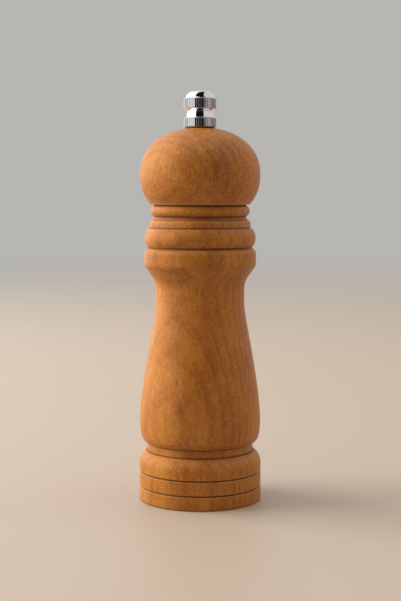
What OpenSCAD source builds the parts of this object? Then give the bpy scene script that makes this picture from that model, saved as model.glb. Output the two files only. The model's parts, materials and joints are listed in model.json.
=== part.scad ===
// Pepper mill: a turned wooden barrel and head around a ceramic conical grinder.
// Millimetres, +Z up. The origin is the centre of the foot, on the surface that the mill stands on.

/* [Barrel] */
// Height of the barrel, from the table to its top face
barrel_h = 119.4; // [110:0.1:145]
// Diameter of the foot
base_d = 49.5; // [47:0.1:60]
// Height of the foot, up to the neck band
base_h = 20.1; // [18:0.1:24]
// Diameter of the narrow band between the foot and the belly
band_d = 42.9; // [42:0.1:46]
// Height of that band
band_h = 3.75; // [2:0.05:6]
// Largest diameter of the belly
belly_d = 49; // [46:0.1:56]
// Height of the belly's widest place above the band
belly_rise = 9.15; // [7:0.05:12]
// Diameter of the waist
waist_d = 35.8; // [35:0.1:42]
// Length of the straight part of the waist
waist_h = 5.9; // [2:0.1:10]
// Radius of the cove above the waist
cove_round = 9; // [6:0.5:10]
// Depth of the two scribed lines round the foot
line_depth = 0.6; // [0.2:0.1:1]
// Width of each scribed line
line_w = 0.9; // [0.4:0.1:1.2]
// Heights of the two scribed lines
line_z = [5.8, 11.8];

/* [Barrel beads] */
// Diameter of the top bead
top_bead_d = 40.1; // [38:0.1:44]
// Height of the top bead
top_bead_h = 4.45; // [3:0.05:5]
// Diameter of the small bead below it
small_bead_d = 40.8; // [38:0.1:44]
// Height of the small bead
small_bead_h = 4.5; // [3:0.1:6]
// Diameter of the round collar bead
round_bead_d = 44.9; // [42:0.1:48]
// Height of the round collar bead
round_bead_h = 7.85; // [6:0.05:10]
// Diameter of the flat collar bead
flat_bead_d = 45.2; // [42:0.1:48]
// Height of the flat collar bead
flat_bead_h = 8.3; // [7:0.1:11]
// Height of the cove under the flat bead
cove_h = 8.4; // [7:0.1:11]

/* [Head] */
// Largest diameter of the head
head_d = 48.5; // [44:0.1:58]
// Height of the head, without its tenon
head_h = 30.25; // [26:0.05:37]
// Height of the head's widest place above its lower face
head_mid = 11.8; // [10:0.1:15]
// Diameter of the head's lower face
head_foot_d = 39.9; // [36:0.1:42]
// Diameter of the flat on top of the head
head_top_d = 14.3; // [13.2:0.1:20]
// Fullness of the head's outline: 2 is an ellipse, more is squarer
head_fullness = 2.2; // [2:0.05:2.5]
// Length of the tenon that turns in the barrel
tenon_h = 12; // [8:0.5:16]

/* [Knob] */
// Diameter over the knurling
knob_d = 13.1; // [11:0.1:16]
// Height of the knob
knob_h = 14.45; // [14:0.05:17]
// Height of the lower knurled band
low_knurl_h = 3.95; // [3:0.05:4]
// Height of the upper knurled band
top_knurl_h = 4.3; // [3:0.1:4.5]
// Height of the smooth neck between the bands
knob_neck_h = 3.4; // [3:0.1:3.6]
// Smallest diameter of the smooth neck
knob_neck_d = 10.1; // [9:0.1:12]
// Number of teeth in the knurling
knurl_count = 48; // [36:1:60]
// Depth of the knurling
knurl_depth = 0.34; // [0.2:0.02:0.5]

/* [Grinder housing] */
// Diameter of the peppercorn chamber
chamber_d = 24; // [20:0.1:29]
// Width of the step between the chamber and the grinder's bore
step_w = 2.2; // [1.6:0.1:3]
// Depth of the outlet recess, up to the face that the flange seats on
recess_h = 10; // [9.5:0.1:13]
// Thickness of the housing's flange
flange_t = 2.4; // [1.8:0.1:2.8]
// Width of the flange, outside the cup
flange_w = 5.5; // [5:0.1:6.5]
// Height of the cup above the flange's seat
cup_h = 14; // [13:0.1:18]
// Thickness of the cup's wall beside the outer burr
cup_wall = 1.75; // [1.4:0.05:2.2]
// Width of the ledge that the outer burr seats against
ledge_w = 0.65; // [0.4:0.05:1]
// Thickness of the snap ring under the outer burr
ring_t = 0.9; // [0.6:0.1:1.2]
// Number of housing screws
housing_screw_count = 3; // [3:1:6]
// Shank diameter of the housing screws
housing_screw_d = 2.5; // [2:0.1:2.8]
// Length of the housing screws under the head
housing_screw_l = 9; // [6:0.5:11]

/* [Burrs] */
// Height of the outer burr
burr_h = 7; // [6:0.1:8]
// Thickness of the outer burr's wall, at the tips of its teeth
burr_wall = 2.6; // [2.2:0.1:3]
// Height of the grinding band at the foot of both burrs
grind_h = 2.2; // [1.6:0.1:2.8]
// How far the grinding band widens over its height
grind_flare = 1.3; // [1:0.1:1.6]
// Gap between the two burrs at the coarsest setting
coarse_gap = 0.9; // [0.85:0.05:1.2]
// Travel of the rotor from the coarsest to the finest setting
grind_travel = 1.2; // [0.8:0.1:1.2]
// Height of the inner burr
cone_h = 8.2; // [7.6:0.1:9]
// Wall of the inner burr round its hub, at the top
cone_wall = 1.5; // [1.2:0.1:1.8]
// Number of fine grinding teeth on each burr
fine_teeth = 36; // [24:1:40]
// Number of feed teeth in the outer burr
feed_teeth = 24; // [12:1:26]
// Number of flutes on the inner burr
flutes = 9; // [5:1:10]

/* [Shaft and drive] */
// Width of the square shaft, and nominal diameter of the thread on its end
shaft_w = 5; // [3.8:0.1:5.5]
// Length of the shaft that stands out below its clip
shaft_tip = 1.1; // [0.6:0.1:1.2]
// Thread that stands in the knob at the coarsest setting
thread_hold = 9.4; // [6:0.1:9.6]
// Length of the thread below the knob
thread_below = 4.6; // [2:0.1:8]
// Thickness of the drive plate
plate_t = 1.5; // [1:0.1:2.5]
// Shank diameter of the drive plate's screws
plate_screw_d = 2; // [1.6:0.1:2.4]
// Length of the drive plate's screws under the head
plate_screw_l = 8.5; // [6:0.5:10]
// Wall of the rotor hub round the shaft
hub_wall = 1.42; // [1.2:0.02:1.8]
// Thickness of the bridge across the housing
bridge_t = 1.2; // [1:0.1:1.6]
// Width of the bridge's bar
bridge_w = 9; // [7:0.5:10]
// Wall of the guide bush
bush_wall = 1.2; // [0.9:0.05:1.5]

/* [Spring, washers and clip] */
// Diameter of the spring's wire
wire_d = 0.8; // [0.6:0.05:0.9]
// Number of turns of the spring
spring_turns = 4; // [3:0.5:4]
// Thickness of the washer between the spring and the rotor
thrust_t = 0.8; // [0.6:0.1:1]
// Thickness of the washer under the rotor
retainer_t = 0.8; // [0.6:0.1:0.9]
// Thickness of the clip on the shaft
clip_t = 0.7; // [0.5:0.1:0.7]
// Thickness of the slip washer between the barrel and the head
slip_t = 0.6; // [0.4:0.1:1]
// Diameter of the slip washer
slip_d = 37.2; // [34:0.1:38]
// Thickness of the washer under the knob
knob_washer_t = 0.5; // [0.3:0.1:1]
// Diameter of the washer under the knob
knob_washer_d = 11.8; // [10:0.1:13]

/* [Fits] */
// Running clearance of a turning fit, on the radius
run_gap = 0.06; // [0.03:0.01:0.1]
// Clearance between parts that only drop into each other, on the radius
slip_gap = 0.2; // [0.1:0.05:0.3]
// Clearance round a seated part, on the radius
seat_gap = 0.05; // [0.02:0.01:0.1]
// Clearance of the square drive, on each side of the shaft
drive_gap = 0.1; // [0.05:0.01:0.15]

/* [Hidden] */
$fn = 96;
eps = 0.01;
over = 1;   // how far a cutting solid runs past the face that it cuts

// Radii
thread_d = shaft_w;   // so that the thread passes through the square hole of the drive plate
base_r = base_d / 2;
chamber_r = chamber_d / 2;
cup_bore_r = chamber_r + step_w;
cup_r = cup_bore_r - slip_gap;
flange_r = cup_r + flange_w;
recess_r = flange_r + slip_gap;
burr_r = cup_r - cup_wall - seat_gap;
ring_groove_r = burr_r + 0.9;
burr_tip_r = burr_r - burr_wall;
burr_mouth_r = burr_tip_r + grind_flare;
cone_foot_r = burr_mouth_r - coarse_gap;
cone_band_r = burr_tip_r - coarse_gap;
tenon_r = chamber_r - slip_gap;
shaft_corner_r = shaft_w / 2 * sqrt(2);
shaft_bore_r = shaft_corner_r + run_gap;
hub_r = shaft_corner_r + hub_wall;
cone_top_r = hub_r + seat_gap + cone_wall;
bush_r = shaft_bore_r + bush_wall;
spring_r = bush_r + 0.75 + wire_d / 2;
pad_r = spring_r + wire_d / 2 + 1.5;
head_bore_r = shaft_corner_r + 0.4;
clip_groove_r = shaft_w / 2 - 0.5;
screw_circle_r = (cup_bore_r + flange_r) / 2;

// Heights
flange_z = recess_h - flange_t;
ring_z = flange_z + 0.4;
burr_z = ring_z + ring_t + 0.1;
ledge_z = burr_z + burr_h;
cup_top_z = recess_h + cup_h;
step_z = cup_top_z + slip_gap;
cone_top_z = burr_z + cone_h;
hub_flange_t = 1;
thrust_z = cone_top_z;
spring_z = thrust_z + thrust_t;
bridge_z = cup_top_z - bridge_t;
retainer_z = burr_z - hub_flange_t - retainer_t;
clip_z = retainer_z - clip_t;
shaft_z = clip_z - shaft_tip;
head_z = barrel_h + slip_t;
head_top_z = head_z + head_h;
plate_z = head_z - tenon_h - plate_t;
knob_z = head_top_z + knob_washer_t;
total_h = knob_z + knob_h;

// Barrel outline, from the foot up
foot_round = 0.6;
shoulder_round = 6.2;
shoulder_sweep = 55;
belly_round = 45;
belly_edge_round = 5;
belly_edge_sweep = 50;
belly_lead = 13.5;
waist_lead = 5;
groove_in = 1.45;
belly_z = base_h + band_h + belly_rise;
top_groove_z = barrel_h - top_bead_h;
small_bead_z = top_groove_z - small_bead_h;
flat_bead_top_z = small_bead_z - round_bead_h;
flat_bead_z = flat_bead_top_z - flat_bead_h;
cove_z = flat_bead_z - cove_h;
waist_z = cove_z - waist_h;

// Screws
pan_head_r = 1.6;    // head radius over shank radius
pan_head_t = 0.55;   // head height over shank diameter
plate_screw_x = (tenon_r + head_bore_r) / 2;

// ---- Outlines in the plane of radius and height ----

// Arc round [cr, cz], from angle a0 to a1
function arc(cr, cz, rad, a0, a1, n = 8) =
    [for (i = [0:n]) let (a = a0 + (a1 - a0) * i / n) [cr + rad * cos(a), cz + rad * sin(a)]];

// Smooth flare from [r0, z0] to [r1, z1], upright at both ends
function flare(r0, z0, r1, z1, lead0, lead1, n = 24) =
    [for (i = [1:n - 1]) let (t = i / n, s = 1 - t)
        [s * s * (s + 3 * t) * r0 + t * t * (t + 3 * s) * r1,
         s * s * s * z0 + 3 * s * s * t * (z0 + lead0) + 3 * s * t * t * (z1 - lead1) + t * t * t * z1]];

// Round bead of the given radius of section, between two heights
function round_bead(r, section, z0, z1, n = 14) =
    let (half = asin((z1 - z0) / 2 / section))
    arc(r - section, (z0 + z1) / 2, section, -half, half, n);

// One scribed line round the foot
function scribed(z) = [[base_r, z - line_w / 2], [base_r - line_depth, z], [base_r, z + line_w / 2]];

// Belly below its widest place: one long arc, then a tighter one to the edge over the band
function belly_foot() =
    let (a = asin((belly_rise - belly_edge_round * sin(belly_edge_sweep)) / (belly_round - belly_edge_round)),
         cr = belly_d / 2 - belly_round + (belly_round - belly_edge_round) * cos(a),
         cz = belly_z - (belly_round - belly_edge_round) * sin(a))
    concat(arc(cr, cz, belly_edge_round, -belly_edge_sweep, -a, 10),
           arc(belly_d / 2 - belly_round, belly_z, belly_round, -a * 5 / 6, 0, 5));

function collar_beads() =
    let (edge = 0.3, low_round = 3, low_sweep = 45, top_round = 2.4, top_sweep = 62, small_round = 1.8)
    concat(
        arc(flat_bead_d / 2 - low_round, flat_bead_z + low_round * sin(low_sweep), low_round, -low_sweep, 0, 6),
        arc(flat_bead_d / 2 - top_round, flat_bead_top_z - edge - top_round * sin(top_sweep), top_round,
            0, top_sweep, 8),
        [[round_bead_d / 2 - groove_in, flat_bead_top_z]],
        round_bead(round_bead_d / 2, 5.8, flat_bead_top_z + edge, small_bead_z - edge / 2),
        [[small_bead_d / 2 - 0.05, small_bead_z]],
        arc(small_bead_d / 2 - small_round, top_groove_z - 0.95 - small_round, small_round, 0, 75, 8),
        [[top_bead_d / 2 - groove_in, top_groove_z]],
        round_bead(top_bead_d / 2, 2.3, top_groove_z + 0.5, barrel_h, 12));

module barrel_outline()
    polygon(concat(
        [[0, 0]],
        arc(base_r - foot_round, foot_round, foot_round, -90, 0, 4),
        scribed(line_z[0]),
        scribed(line_z[1]),
        arc(base_r - shoulder_round, base_h - shoulder_round * sin(shoulder_sweep), shoulder_round,
            0, shoulder_sweep, 10),
        [[band_d / 2, base_h], [band_d / 2 - 0.1, base_h + band_h]],
        belly_foot(),
        flare(belly_d / 2, belly_z, waist_d / 2, waist_z, belly_lead, waist_lead),
        [[waist_d / 2, waist_z]],
        arc(waist_d / 2 + cove_round, cove_z, cove_round, 180, 142, 8),
        collar_beads(),
        [[0, barrel_h]]));

// Head's outline: two halves of a superellipse that meet at the widest place and end in flat faces.
// The half height of such a curve that is face_d wide at the height rise
function half_height(rise, face_d) =
    rise / pow(1 - pow(face_d / head_d, head_fullness), 1 / head_fullness);
low_half = half_height(head_mid, head_foot_d);
top_half = half_height(head_h - head_mid, head_top_d);
function head_angle(rise, half) = asin(pow(rise / half, head_fullness / 2));
function head_point(a) =
    [head_d / 2 * pow(cos(a), 2 / head_fullness),
     head_z + head_mid + (a < 0 ? -low_half : top_half) * pow(abs(sin(a)), 2 / head_fullness)];

module head_outline() {
    edge = 0.4;
    a0 = -head_angle(head_mid - edge, low_half);
    a1 = head_angle(head_h - head_mid, top_half);
    n = 40;
    polygon(concat(
        [[0, head_z], [head_point(a0)[0] - edge, head_z]],
        [for (i = [0:n]) head_point(a0 + (a1 - a0) * i / n)],
        [[0, head_top_z]]));
}

// ---- Shared shapes ----

module ring(r_out, r_in, t) linear_extrude(t) difference() {
    circle(r_out);
    circle(r_in);
}

// Pan-head screw with a cross recess, its head's seat at z = 0 and its shank upwards
module pan_screw(d, l) {
    head_r = pan_head_r * d / 2;
    head_t = pan_head_t * d;
    difference() {
        union() {
            translate([0, 0, -eps]) cylinder(h = l - d / 2 + eps, d = d);
            translate([0, 0, l - d / 2]) cylinder(h = d / 2, d1 = d, d2 = d / 4);
            rotate_extrude() polygon([[0, 0], [head_r, 0], [head_r, -head_t / 2], [head_r * 0.7, -head_t],
                                      [0, -head_t]]);
        }
        for (a = [0, 90]) rotate(a) translate([-d / 2, -d / 10, -head_t - over])
            cube([d, d / 5, over + head_t / 2]);
    }
}

// Pilot hole for that screw
module pilot(d, l) translate([0, 0, -over]) cylinder(h = over + l + 0.5, r = d / 2 + seat_gap);

// V-shaped notch along the line between two points of the outline, at radius and height, turned by skew
module notch(p0, p1, depth, skew = 0) {
    tilt = atan2(p1[0] - p0[0], p1[1] - p0[1]);
    len = norm(p1 - p0);
    side = depth * sqrt(2);
    translate([(p0[0] + p1[0]) / 2, 0, (p0[1] + p1[1]) / 2]) rotate([0, tilt, 0]) rotate([skew, 0, 0])
        rotate(45) cube([side, side, len + 2 * over], center = true);
}

module turned(count) for (i = [0:count - 1]) rotate(i * 360 / count) children();

// ---- Sub-parts ----

module barrel() color([0.72, 0.45, 0.21]) difference() {
    rotate_extrude() barrel_outline();
    translate([0, 0, -over]) cylinder(h = over + recess_h, r = recess_r);
    cylinder(h = step_z, r = cup_bore_r);
    cylinder(h = barrel_h + over, r = chamber_r);
    turned(housing_screw_count) translate([screw_circle_r, 0, recess_h])
        pilot(housing_screw_d, housing_screw_l - flange_t);
}

module head() color([0.72, 0.45, 0.21]) difference() {
    union() {
        rotate_extrude() head_outline();
        translate([0, 0, head_z - tenon_h]) cylinder(h = tenon_h + over, r = tenon_r);
    }
    translate([0, 0, head_z - tenon_h - over]) cylinder(h = tenon_h + head_h + 2 * over, r = head_bore_r);
    for (s = [-1, 1]) translate([s * plate_screw_x, 0, head_z - tenon_h])
        pilot(plate_screw_d, plate_screw_l - plate_t);
}

module knurl(h) linear_extrude(h) polygon([for (i = [0:2 * knurl_count - 1])
    let (r = knob_d / 2 - (i % 2) * knurl_depth, a = i * 180 / knurl_count) [r * cos(a), r * sin(a)]]);

module knob() {
    root_r = knob_d / 2 - knurl_depth - 0.1;
    neck_z = low_knurl_h;
    top_z = neck_z + knob_neck_h;
    dome_z = top_z + top_knurl_h;
    bevel = 0.95;
    dome_h = knob_h - dome_z;
    dome_r = root_r - 0.35;
    thread_clear = 1.2;
    color([0.8, 0.8, 0.82]) translate([0, 0, knob_z]) difference() {
        union() {
            rotate_extrude() polygon(concat(
                [[0, 0], [root_r, 0], [root_r, neck_z], [knob_neck_d / 2 + 0.4, neck_z + 0.1],
                 [knob_neck_d / 2 + 0.3, neck_z + 1.2], [knob_neck_d / 2, top_z - bevel],
                 [root_r, top_z + 0.1], [root_r, dome_z], [dome_r, dome_z + 0.05]],
                [for (i = [1:8]) let (a = i * 90 / 8)
                    [dome_r - dome_h * (1 - cos(a)), dome_z + dome_h * sin(a)]],
                [[0, knob_h]]));
            knurl(neck_z);
            translate([0, 0, top_z]) knurl(top_knurl_h);
        }
        translate([0, 0, -over]) cylinder(h = over + thread_hold + grind_travel + thread_clear,
                                          r = thread_d / 2);
    }
}

module knob_washer() color([0.12, 0.1, 0.1]) translate([0, 0, head_top_z])
    ring(knob_washer_d / 2, thread_d / 2 + 0.3, knob_washer_t);

module slip_washer() color([0.12, 0.08, 0.06]) translate([0, 0, barrel_h])
    ring(slip_d / 2, chamber_r + 0.5, slip_t);

module shaft() {
    thread_z = head_top_z - thread_below;
    thread_r = thread_d / 2 - seat_gap;
    chamfer = 0.5;
    color([0.7, 0.7, 0.72]) {
        difference() {
            translate([-shaft_w / 2, -shaft_w / 2, shaft_z]) cube([shaft_w, shaft_w, thread_z - shaft_z]);
            translate([0, 0, clip_z - seat_gap]) ring(shaft_corner_r + over, clip_groove_r, clip_t + seat_gap);
        }
        translate([0, 0, thread_z - eps])
            cylinder(h = knob_z + thread_hold - thread_z - chamfer + eps, r = thread_r);
        translate([0, 0, knob_z + thread_hold - chamfer])
            cylinder(h = chamfer, r1 = thread_r, r2 = thread_r - chamfer);
    }
}

module drive_plate() color([0.75, 0.76, 0.78]) translate([0, 0, plate_z]) linear_extrude(plate_t)
    difference() {
        circle(tenon_r - 1);
        square(shaft_w + 2 * drive_gap, center = true);
        for (s = [-1, 1]) translate([s * plate_screw_x, 0]) circle(plate_screw_d / 2 + seat_gap);
    }

module drive_plate_screws() color([0.7, 0.7, 0.72])
    for (s = [-1, 1]) translate([s * plate_screw_x, 0, plate_z]) pan_screw(plate_screw_d, plate_screw_l);

module grinder_housing() color([0.13, 0.13, 0.14]) difference() {
    union() {
        translate([0, 0, flange_z]) cylinder(h = flange_t, r = flange_r);
        translate([0, 0, flange_z]) cylinder(h = cup_top_z - flange_z, r = cup_r);
    }
    translate([0, 0, flange_z - over]) cylinder(h = cup_top_z - flange_z + 2 * over, r = burr_r - ledge_w);
    translate([0, 0, flange_z - over]) cylinder(h = ledge_z - flange_z + over, r = burr_r + seat_gap);
    translate([0, 0, ring_z - seat_gap]) cylinder(h = ring_t + 2 * seat_gap, r = ring_groove_r);
    translate([-cup_r - over, -bridge_w / 2 - seat_gap, bridge_z])
        cube([2 * (cup_r + over), bridge_w + 2 * seat_gap, bridge_t + over]);
    turned(housing_screw_count) translate([screw_circle_r, 0, flange_z - over])
        cylinder(h = flange_t + 2 * over, r = housing_screw_d / 2 + seat_gap);
}

module housing_screws() color([0.7, 0.7, 0.72]) turned(housing_screw_count)
    translate([screw_circle_r, 0, flange_z]) pan_screw(housing_screw_d, housing_screw_l);

module outer_burr() color([0.93, 0.92, 0.89]) difference() {
    band_z = burr_z + grind_h;
    chamfer = 0.9;
    feed_z = band_z + 0.9;
    rotate_extrude() polygon([[burr_mouth_r, burr_z], [burr_r, burr_z], [burr_r, ledge_z],
                              [burr_tip_r + chamfer, ledge_z], [burr_tip_r, ledge_z - chamfer],
                              [burr_tip_r, band_z]]);
    turned(fine_teeth) notch([burr_mouth_r, burr_z], [burr_tip_r, band_z], 0.45);
    turned(feed_teeth) notch([burr_tip_r, feed_z + over], [burr_tip_r, ledge_z], 0.7);
}

module burr_retainer() color([0.75, 0.75, 0.77]) translate([0, 0, ring_z]) linear_extrude(ring_t)
    difference() {
        circle(ring_groove_r - seat_gap);
        circle(burr_mouth_r + 0.3);
        rotate(60) translate([0, -1.5]) square([ring_groove_r, 3]);
    }

module inner_burr() color([0.93, 0.92, 0.89]) difference() {
    band_z = burr_z + grind_h;
    rotate_extrude() polygon([[0, burr_z], [cone_foot_r, burr_z], [cone_band_r, band_z],
                              [cone_top_r, cone_top_z], [0, cone_top_z]]);
    translate([0, 0, burr_z - over]) linear_extrude(cone_h + 2 * over) hub_key(seat_gap);
    turned(fine_teeth) notch([cone_foot_r, burr_z], [cone_band_r, band_z], 0.42, 12);
    turned(flutes) notch([cone_band_r, band_z + 1.5 * over], [cone_top_r, cone_top_z], 1.1, 22);
}

// Section of the hub where it carries the inner burr: a circle with two flats
module hub_key(gap) intersection() {
    circle(hub_r + gap);
    square([2 * hub_r + 1, 2 * (hub_r - 0.55 + gap)], center = true);
}

module rotor_hub() color([0.13, 0.13, 0.14]) difference() {
    union() {
        translate([0, 0, burr_z - hub_flange_t]) cylinder(h = hub_flange_t, r = cone_top_r + 1.2);
        translate([0, 0, burr_z - eps]) linear_extrude(cone_h + eps) hub_key(0);
    }
    translate([0, 0, burr_z - hub_flange_t - over]) linear_extrude(cone_h + hub_flange_t + 2 * over)
        square(shaft_w + 2 * seat_gap, center = true);
}

module guide_bridge() color([0.7, 0.7, 0.72]) translate([0, 0, bridge_z]) linear_extrude(bridge_t)
    difference() {
        union() {
            intersection() {
                square([2 * cup_r, bridge_w], center = true);
                circle(cup_r - seat_gap);
            }
            circle(pad_r);
        }
        circle(bush_r + seat_gap);
    }

module guide_bush() color([0.78, 0.62, 0.3]) difference() {
    nose = 0.6;
    union() {
        translate([0, 0, bridge_z - nose]) cylinder(h = nose + bridge_t + eps, r = bush_r);
        translate([0, 0, cup_top_z]) cylinder(h = 1, r = bush_r + 1.2);
    }
    translate([0, 0, bridge_z - nose - over]) cylinder(h = bridge_t + nose + 1 + 2 * over, r = shaft_bore_r);
}

// Coil spring with a flat part turn at each end: one swept tube
module spring() {
    sides = 10;
    steps = 24;
    rings = floor(spring_turns * steps);
    flat = 0.75;
    z0 = spring_z + wire_d / 2 + eps;
    rise = bridge_z - spring_z - wire_d - 2 * eps;
    function coil_z(t) = z0 + rise * min(1, max(0, (t - flat) / (spring_turns - 2 * flat)));
    points = [for (i = [0:rings]) let (t = spring_turns * i / rings) for (j = [0:sides - 1])
        let (a = 360 * j / sides, r = spring_r + wire_d / 2 * cos(a))
        [r * cos(360 * t), r * sin(360 * t), coil_z(t) + wire_d / 2 * sin(a)]];
    walls = [for (i = [0:rings - 1], j = [0:sides - 1]) let (k = (j + 1) % sides)
        [i * sides + j, (i + 1) * sides + j, (i + 1) * sides + k, i * sides + k]];
    ends = [[for (j = [0:sides - 1]) j], [for (j = [sides - 1:-1:0]) rings * sides + j]];
    color([0.7, 0.7, 0.72]) polyhedron(points, concat(walls, ends), convexity = 10);
}

module thrust_washer() color([0.85, 0.84, 0.8]) translate([0, 0, thrust_z])
    ring(spring_r + wire_d / 2 + 1, shaft_corner_r + slip_gap, thrust_t);

module retaining_washer() color([0.7, 0.7, 0.72]) translate([0, 0, retainer_z])
    ring(shaft_corner_r + 1.5, shaft_corner_r + seat_gap, retainer_t);

module retaining_clip() color([0.3, 0.3, 0.32]) translate([0, 0, clip_z]) linear_extrude(clip_t)
    difference() {
        grip_r = clip_groove_r + seat_gap;
        circle(shaft_corner_r + 1);
        circle(grip_r);
        translate([0, -grip_r * 0.85]) square([shaft_corner_r + 2, 2 * grip_r * 0.85]);
        for (a = [115, 245]) rotate(a) translate([grip_r, 0]) circle(0.7);
    }

barrel();
head();
knob();
knob_washer();
slip_washer();
shaft();
drive_plate();
drive_plate_screws();
grinder_housing();
housing_screws();
outer_burr();
burr_retainer();
inner_burr();
rotor_hub();
guide_bridge();
guide_bush();
spring();
thrust_washer();
retaining_washer();
retaining_clip();
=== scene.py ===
"""Pepper mill: the finished meshes and materials of every piece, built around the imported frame.

Sizes are in millimetres, places come from the frame's boxes, and a mesh is in metres once it is made.
"""

import json
import logging
import math
from collections.abc import Callable, Iterable, Sequence
from dataclasses import dataclass, field
from enum import Enum
from typing import Any

import bmesh
import bpy
import numpy as np
from mathutils import Matrix, Vector


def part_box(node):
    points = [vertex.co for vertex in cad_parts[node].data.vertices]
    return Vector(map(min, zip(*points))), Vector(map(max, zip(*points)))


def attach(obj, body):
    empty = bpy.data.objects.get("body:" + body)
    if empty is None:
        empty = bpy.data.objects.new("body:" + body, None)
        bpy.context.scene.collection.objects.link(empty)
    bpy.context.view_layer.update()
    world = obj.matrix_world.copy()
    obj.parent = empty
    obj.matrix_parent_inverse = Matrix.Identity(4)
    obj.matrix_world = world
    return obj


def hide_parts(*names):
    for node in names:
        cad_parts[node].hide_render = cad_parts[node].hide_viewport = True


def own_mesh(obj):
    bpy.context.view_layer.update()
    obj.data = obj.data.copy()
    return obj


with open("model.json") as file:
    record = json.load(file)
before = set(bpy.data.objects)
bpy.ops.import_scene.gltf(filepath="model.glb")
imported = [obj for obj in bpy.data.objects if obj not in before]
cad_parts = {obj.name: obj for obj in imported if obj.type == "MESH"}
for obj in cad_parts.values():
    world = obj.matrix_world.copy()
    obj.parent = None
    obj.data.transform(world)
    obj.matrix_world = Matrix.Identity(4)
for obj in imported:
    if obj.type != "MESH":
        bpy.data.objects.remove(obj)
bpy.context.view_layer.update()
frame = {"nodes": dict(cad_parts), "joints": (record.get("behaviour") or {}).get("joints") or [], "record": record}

log = logging.getLogger("pepper_mill")

# A millimetre in metres, a whole turn in radians, the radius of the turning rail in millimetres, and a
# distance in metres that is too small to see.
MM = 0.001
TURN = 2 * math.pi
RAIL_R = 10.0
NARROW = 1e-6
# How far a test of a radius or a height reaches past the face that it asks for, in millimetres.
TOUCH = 0.01

Point = tuple[float, float]
Triple = tuple[float, float, float]
Colour = tuple[float, float, float]
Mark = Callable[[float, float], float]


# ---- The frame ----


@dataclass(frozen=True)
class Place:
    """Box of one CAD node at rest, in millimetres.

    Attributes:
        low: its lowest corner.
        high: its highest corner.
    """

    low: Vector
    high: Vector

    @classmethod
    def of(cls, node: str) -> "Place":
        """Reads the box of a CAD node.

        Args:
            node: the node's name.

        Returns:
            The node's place.
        """
        low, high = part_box(node)
        return cls(low / MM, high / MM)

    @property
    def bottom(self) -> float:
        """Height of its lowest point."""
        return self.low.z

    @property
    def top(self) -> float:
        """Height of its highest point."""
        return self.high.z

    @property
    def radius(self) -> float:
        """Distance of its widest point from the turning axis."""
        return max(self.high.x, self.high.y)


def body_of(node: str) -> str:
    """Finds the body that carries a CAD node.

    Args:
        node: the node's name.

    Returns:
        The body's name.
    """
    bodies = frame["record"]["behaviour"]["bodies"]
    return next(body for body, members in bodies.items() if node in members)


def slot_of(node: str) -> str:
    """Finds the material slot of a CAD node.

    Args:
        node: the node's name.

    Returns:
        The slot's name in the record.
    """
    return next(part["material_slot"] for part in frame["record"]["subparts"] if part["node"] == node)


# ---- Node trees ----


class Value:
    """A numeric output socket whose Python operators add Math nodes."""

    def __init__(self, graph: "Graph", socket: bpy.types.NodeSocket) -> None:
        """Wraps a socket of a graph."""
        self.graph = graph
        self.socket = socket

    def __add__(self, other: Any) -> "Value":
        """Adds."""
        return self.graph.math("ADD", self, other)

    def __radd__(self, other: Any) -> "Value":
        """Adds to a number."""
        return self.graph.math("ADD", other, self)

    def __sub__(self, other: Any) -> "Value":
        """Subtracts."""
        return self.graph.math("SUBTRACT", self, other)

    def __rsub__(self, other: Any) -> "Value":
        """Subtracts from a number."""
        return self.graph.math("SUBTRACT", other, self)

    def __mul__(self, other: Any) -> "Value":
        """Multiplies."""
        return self.graph.math("MULTIPLY", self, other)

    def __truediv__(self, other: Any) -> "Value":
        """Divides."""
        return self.graph.math("DIVIDE", self, other)

    def __pow__(self, other: float) -> "Value":
        """Raises to a power."""
        return self.graph.math("POWER", self, other)

    def __abs__(self) -> "Value":
        """Drops the sign."""
        return self.graph.math("ABSOLUTE", self)

    def least(self, other: Any) -> "Value":
        """The smaller of this and another."""
        return self.graph.math("MINIMUM", self, other)

    def most(self, other: Any) -> "Value":
        """The larger of this and another."""
        return self.graph.math("MAXIMUM", self, other)

    def step(self, low: float, high: float) -> "Value":
        """Rises smoothly from 0 to 1 between two values.

        Args:
            low: the value at which the result leaves 0.
            high: the value at which the result reaches 1.

        Returns:
            The share, from 0 to 1.
        """
        sockets = {0: self, 1: low, 2: high}
        made = self.graph.node("ShaderNodeMapRange", {"interpolation_type": "SMOOTHSTEP"}, sockets)
        return Value(self.graph, made.outputs[0])


class VectorValue(Value):
    """A vector output socket whose Python operators add Vector Math nodes."""

    def __add__(self, other: Any) -> "VectorValue":
        """Adds a vector."""
        return self.graph.vector_math("ADD", self, other)

    def __sub__(self, other: Any) -> "VectorValue":
        """Subtracts a vector."""
        return self.graph.vector_math("SUBTRACT", self, other)

    def __mul__(self, other: Sequence[float]) -> "VectorValue":
        """Multiplies each part by its own number."""
        return self.graph.vector_math("MULTIPLY", self, other)

    @property
    def parts(self) -> tuple[Value, Value, Value]:
        """Its X, Y and Z."""
        made = self.graph.node("ShaderNodeSeparateXYZ", sockets={0: self})
        x, y, z = (Value(self.graph, socket) for socket in made.outputs)
        return x, y, z


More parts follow.
